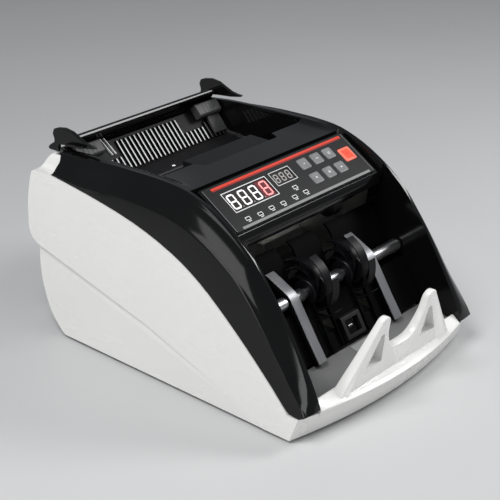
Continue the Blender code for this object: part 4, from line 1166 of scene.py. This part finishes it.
def hopperRamp():
    run = math.hypot(rampHead[0] - rampFoot[0], rampHead[1] - rampFoot[1])
    thick = 2.2
    outline = rounded([(229.6, 131.0), (229.6, 137.6), (231.0, 139.2), rampFoot,
                       slope(rampFoot, rampAngle, run, 0.0),
                       slope(rampFoot, rampAngle, run, -thick), (256.4, 138.6), (232.4, 136.8), (231.8, 131.0)],
                      [0.3, 1.0, 1.0, 3.0, 0.6, 0.3, 2.0, 1.0, 0.3], 4)
    ramp = plates("rampPlate", sideways, [outline], -91.9, 91.9, 0.3)
    put(ramp, "dark", nodes=("hopper_plate",))
    # each rib is a body in painted-shade black with a light grey cap: painted highlight along the crests and
    # painted shade on the sides; the caps of the outer ribs take the darker guide plastic
    paintedHighlights, paintedShadeSides, grey = [], [], []
    for i in range(-16, 17):
        x = i * hopper["ribPitch"]
        length = 31.0 if abs(x) < 41.0 else 15.5 if abs(x) < 65.0 else 19.5
        half, top = hopper["ribWidth"] / 2, hopper["ribRise"]
        crest = top - hopper["crest"]
        paintedShadeSides.append(plates("rib", onRib(x), [ribOutline(length, -0.6, crest - 0.02)], -half, half))
        cap = plates("crest", onRib(x), [ribOutline(length - 2.0, crest, top, 0.4)], -half, half, 0.1)
        (grey if abs(x) > 66.0 else paintedHighlights).append(cap)
    # two slanted light grey strips on the left of the ramp are painted highlight streaks
    for x, tilt in ((-44.8, -0.22), (-49.0, -0.22)):
        highlightStreak = [(x - 0.5, 18.0), (x + 0.5, 18.0), (x + 0.5 + tilt * 18, 36.0), (x - 0.5 + tilt * 18, 36.0)]
        paintedHighlights.append(plates("highlightStreak", onRamp, [highlightStreak], -0.5, 2.0, 0.2))
    put(merge("ribCrestHighlights", paintedHighlights), "rib")
    put(merge("ribSidesPaintedShade", paintedShadeSides), "shade")
    put(merge("sideRibCrests", grey), "guide")
    heads = []
    for x, depth in ((-33.6, 233.0), (-3.4, 235.5)):
        steps = ((2.0, 139.2), (2.0, 139.9), (1.6, 140.4), (0.9, 140.6))
        heads.append(skin("screwHead", [levelRing(x, depth, r, h, 24) for r, h in steps]))
    put(merge("feedPlateScrews", heads), "shaft")
    # walls down each side of the hopper
    for side in (-1, 1):
        wall = [(164.0, 171.0), (164.0, 141.0), (228.0, 141.0), (255.5, 143.0), (276.4, 165.6), (276.4, 171.4)]
        low, high = sorted((side * 93.9, side * 95.9))
        name = "hopperWall_" + ("left" if side < 0 else "right")
        put(plates(name, sideways, [rounded(wall, 1.5, 3)], low, high, 0.3), "black")


def hopperRail():
    rail = rounded([(268.4, 178.8), (268.0, 181.0), (269.2, 182.8), (272.0, 183.2), (274.4, 181.6),
                    (281.6, 169.0), (281.6, 164.4), (279.6, 164.4), (279.2, 168.6), (272.6, 178.0)], 0.8, 3)
    back = plates("railBar", sideways, [rail], -hopper["earSide"], hopper["earSide"], 0.25)
    ear = rounded([(238.5, 181.6), (243.0, 181.6), (251.0, 182.8), (259.2, 186.0), (266.8, 189.3),
                   (277.0, 190.4), (286.0, 188.8), (290.4, 186.9), (292.2, 182.4), (290.4, 177.8),
                   (290.6, 174.6), (296.5, 171.0), (299.4, 167.6), (297.0, 166.4), (285.4, 166.6),
                   (285.4, 173.6), (266.0, 176.2), (252.0, 177.6), (238.5, 180.2)],
                  [0.6, 2, 4, 6, 6, 6, 4, 2.5, 2.5, 2.5, 2.5, 3, 1, 1, 1, 2, 3, 4, 0.6], 4)
    pieces = [back]
    for side in (-1, 1):
        low, high = sorted((side * (hopper["earSide"] - 1.0), side * (hopper["earSide"] + 2.6)))
        pieces.append(plates("ear", sideways, [ear], low, high, 0.8, 3))
        # a stiffening lip along the foot of each ear
        foot = [(251.0, 178.4), (266.0, 176.9), (272.0, 176.3), (272.0, 178.3), (262.0, 179.8), (251.0, 180.2)]
        low, high = sorted((side * (hopper["earSide"] + 2.4), side * (hopper["earSide"] + 6.4)))
        pieces.append(plates("earFoot", sideways, [rounded(foot, 0.7, 3)], low, high, 0.3))
    put(merge("backRail", pieces), "black", nodes=("hopper_back",))


def noteGuides():
    rise = hopper["ribRise"] + 0.3
    for name, side in (("left", -1), ("right", 1)):
        body = rounded([(21.0, rise), (21.0, 9.6), (22.6, 11.4), (33.0, 11.4), (34.2, 10.2), (34.2, rise)],
                       [0.4, 1.0, 1.0, 1.0, 1.0, 0.4], 3)
        foot = rounded([(3.0, rise), (3.0, 3.9), (20.8, 5.6), (20.8, rise)], [0.4, 0.8, 0.4, 0.4], 3)
        low, high = sorted((side * 61.6, side * 91.0))
        near, far = sorted((side * 74.0, side * 90.0))
        parts = [plates("body", onRib(0.0), [body], low, high, 0.5, 3),
                 plates("foot", onRib(0.0), [foot], near, far, 0.3)]
        for k in range(4):
            # finger grips across the block
            x = side * (70.0 + 4.6 * k)
            grip = rounded([(23.0, 11.1), (23.0, 11.7), (32.0, 11.7), (32.0, 11.1)], 0.2, 2)
            low, high = sorted((x - 0.6, x + 0.6))
            parts.append(plates("grip", onRib(0.0), [grip], low, high, 0.15))
        put(merge("noteGuide_" + name, parts), "guide", "guide_" + name, ("note_guide_" + name,))


hopperRamp()
hopperRail()
noteGuides()
print("hopper made")


# ---- rollers, rear and underside

def rollers():
    for name, axis, start, end, thick in (("feed", feedAxis, -108.0, 109.8, 5.0),
                                          ("pickup", pickupAxis, -105.0, 109.8, 5.0),
                                          ("outfeed", outfeedAxis, -108.0, 105.0, 4.6)):
        profile = [(0, start), (3.6, start), (4.0, start + 0.4), (4.0, -96), (thick, -96), (thick, 96),
                   (4.0, 96), (4.0, end - 0.4), (3.6, end), (0, end)]
        put(lathe(name + "Spindle", profile, axis, 48), "shaft", name, (name + "_shaft",))
    for name, axis, radius, reach, width, bore, look, slotName in (
            ("feed", feedAxis, 19.0, 28.0, 24.0, 5.3, "roller", "roller_rubber"),
            ("pickup", pickupAxis, 14.6, 28.0, 20.0, 5.3, "roller", "roller_rubber"),
            ("outfeed", outfeedAxis, 11.0, 72.0, 14.0, 4.9, "rubber", "rubber")):
        for side, spot in (("left", -reach), ("right", reach)):
            # tread with shallow grooves between its two hub faces
            near, far = spot - width / 2, spot + width / 2
            profile = [(bore, near), (radius - 3.0, near), (radius - 2.6, near + 0.6),
                       (radius - 0.8, near + 0.6)]
            grooves = int(width / 4)
            pitch = (width - 2.4) / grooves
            for k in range(grooves):
                start = near + 1.2 + pitch * k
                end = start + pitch - 0.8
                profile += [(radius - 0.5, start), (radius, start + 0.3), (radius, end),
                            (radius - 0.5, end + 0.3)]
            profile += [(radius - 0.8, far - 0.6), (radius - 2.6, far - 0.6), (radius - 3.0, far),
                        (bore, far), (bore, near)]
            roller = lathe(f"{name}Roller_{side}", profile, axis, 72)
            put(roller, look, name, (f"{name}_roller_{side}",))


def feet():
    for i, (x, depth) in enumerate(((-92, 26), (92, 26), (-92, 240), (92, 240)), 1):
        # the pad draws in a little to its edge, and its underside is hollow in the middle
        steps = ((9.0, 0.3), (8.9, -0.4), (7.9, -2.4), (7.6, -2.8), (7.2, -3.0), (4.0, -3.0), (3.4, -2.2),
                 (1.0, -2.2))
        rings = [levelRing(x, depth, r, h, 48) for r, h in steps]
        put(skin(f"footPad_{i}", rings, 30.0), "rubber", nodes=(f"foot_{i}",))


def rearFittings():
    plate = plates("inletPlate", upright, [rect(-86.0, -20.0, 11.0, 51.0, 2.0, 4)], 272.2, 274.0)
    carve(plate, plates("hole", upright, [rect(-80, -52, 19, 41)], 268, 280))
    carve(plate, plates("hole", upright, [rect(-46, -25.6, 23.4, 36.8)], 268, 280))
    soften(plate, 0.3, 2)
    put(plate, "dark", nodes=("rear_plate",))
    outer = [(-79.7, 19.3), (-52.3, 19.3), (-52.3, 36.7), (-56.3, 40.7), (-75.7, 40.7), (-79.7, 36.7)]
    inner = [(-77, 22), (-55, 22), (-55, 34.5), (-58.5, 38), (-73.5, 38), (-77, 34.5)]
    body = plates("inletBody", upright, [rounded(outer, 1.0, 3)], 262.0, 275.8)
    carve(body, plates("socket", upright, [rounded(inner, 0.8, 3)], 264.0, 282.0))
    soften(body, 0.4, 2)
    put(body, "rubber", nodes=("power_inlet",))
    pinSpots = ((-72.5, 28), (-66, 32.5), (-59.5, 28))
    pins = [rect(x - 0.9, x + 0.9, h - 2.2, h + 2.2, 0.4, 3) for x, h in pinSpots]
    put(plates("inletPins", upright, pins, 263.8, 273.0, 0.25), "strip")
    case = plates("switchCase", upright, [rect(-45.7, -25.9, 23.7, 36.5, 0.8, 3)], 262.0, 275.4)
    carve(case, plates("well", upright, [rect(-44.2, -27.4, 25.2, 35.0, 0.4, 2)], 268.0, 282.0))
    soften(case, 0.35, 2)
    put(case, "rubber", nodes=("switch_body",))
    key = rounded([(273.9, 25.8), (277.4, 26.6), (275.2, 30.1), (276.2, 34.4), (272.2, 34.4), (270.0, 30.1)],
                  [0.5, 0.8, 3.0, 0.6, 0.4, 0.4], 4)
    rocker = plates("switchKey", sideways, [key], -43.8, -27.8, 0.3)
    put(rocker, "dark", "rocker", ("power_rocker",))


rollers()
feet()
rearFittings()

# the hidden frame and drive keep their solids and get their real finishes
finishes = {
    "zinc": ["bottom_plate", "side_frame_left", "side_frame_right", "main_motor", "transformer", "feed_pulley",
             "outfeed_drive_pulley", "pickup_pulley", "outfeed_pulley", "motor_pulley"],
    "rubber": ["motor_belt", "pickup_belt", "outfeed_belt", "brake_roller"],
    "dark": ["brake_bracket"],
    "board": ["main_board", "panel_board"],
}
for look, names in finishes.items():
    for name in names:
        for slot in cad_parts[name].material_slots:
            slot.material = looks[look]
print("rear and inside made")


# ---- floor, light and camera

def stage():
    bpy.ops.mesh.primitive_plane_add(size=8.0, location=(0.0, 0.0, 0.0))
    floor = bpy.context.object
    floor.name = "floor"
    floor.data.materials.append(paleFloor())


lights = {
    "topLeft": {"place": (-0.75, -0.1, 1.35), "aim": (0.0, 0.0, 0.1), "size": (0.7, 0.5), "power": 15.0},
    "leftFill": {"place": (-1.6, 0.1, 0.5), "aim": (0.0, 0.0, 0.05), "size": (0.9, 0.7), "power": 5.5},
    "rightFront": {"place": (0.79, -0.60, 0.93), "aim": (0.0, -0.05, 0.1), "size": (0.42, 0.42), "power": 9.0},
    "frontLow": {"place": (-0.1, -1.6, 0.5), "aim": (0.0, 0.0, 0.05), "size": (0.8, 0.4), "power": 4.0},
}


def lamps():
    for name, lamp in lights.items():
        data = bpy.data.lights.new(name, "AREA")
        data.shape = "RECTANGLE"
        data.size, data.size_y = lamp["size"]
        data.energy = lamp["power"]
        obj = bpy.data.objects.new(name, data)
        obj.location = lamp["place"]
        obj.rotation_euler = (Vector(lamp["aim"]) - obj.location).to_track_quat("-Z", "Y").to_euler()
        bpy.context.scene.collection.objects.link(obj)
    world = bpy.data.worlds.new("studio")
    world.use_nodes = True
    world.node_tree.nodes["Background"].inputs["Color"].default_value = (0.9, 0.95, 1.0, 1.0)
    world.node_tree.nodes["Background"].inputs["Strength"].default_value = 0.26
    bpy.context.scene.world = world
    bpy.context.scene.view_settings.view_transform = "Standard"


def camera():
    data = bpy.data.cameras.new("camera")
    data.lens = 98.16
    data.sensor_width = 36.0
    obj = bpy.data.objects.new("camera", data)
    obj.location = (-0.8309, -0.5806, 0.5921)
    obj.location.y += at(0, 0, 0).y
    back = Vector((-0.6838, -0.5979, 0.4183))
    obj.rotation_euler = (-back).to_track_quat("-Z", "Y").to_euler()
    bpy.context.scene.collection.objects.link(obj)
    bpy.context.scene.camera = obj


stage()
lamps()
camera()
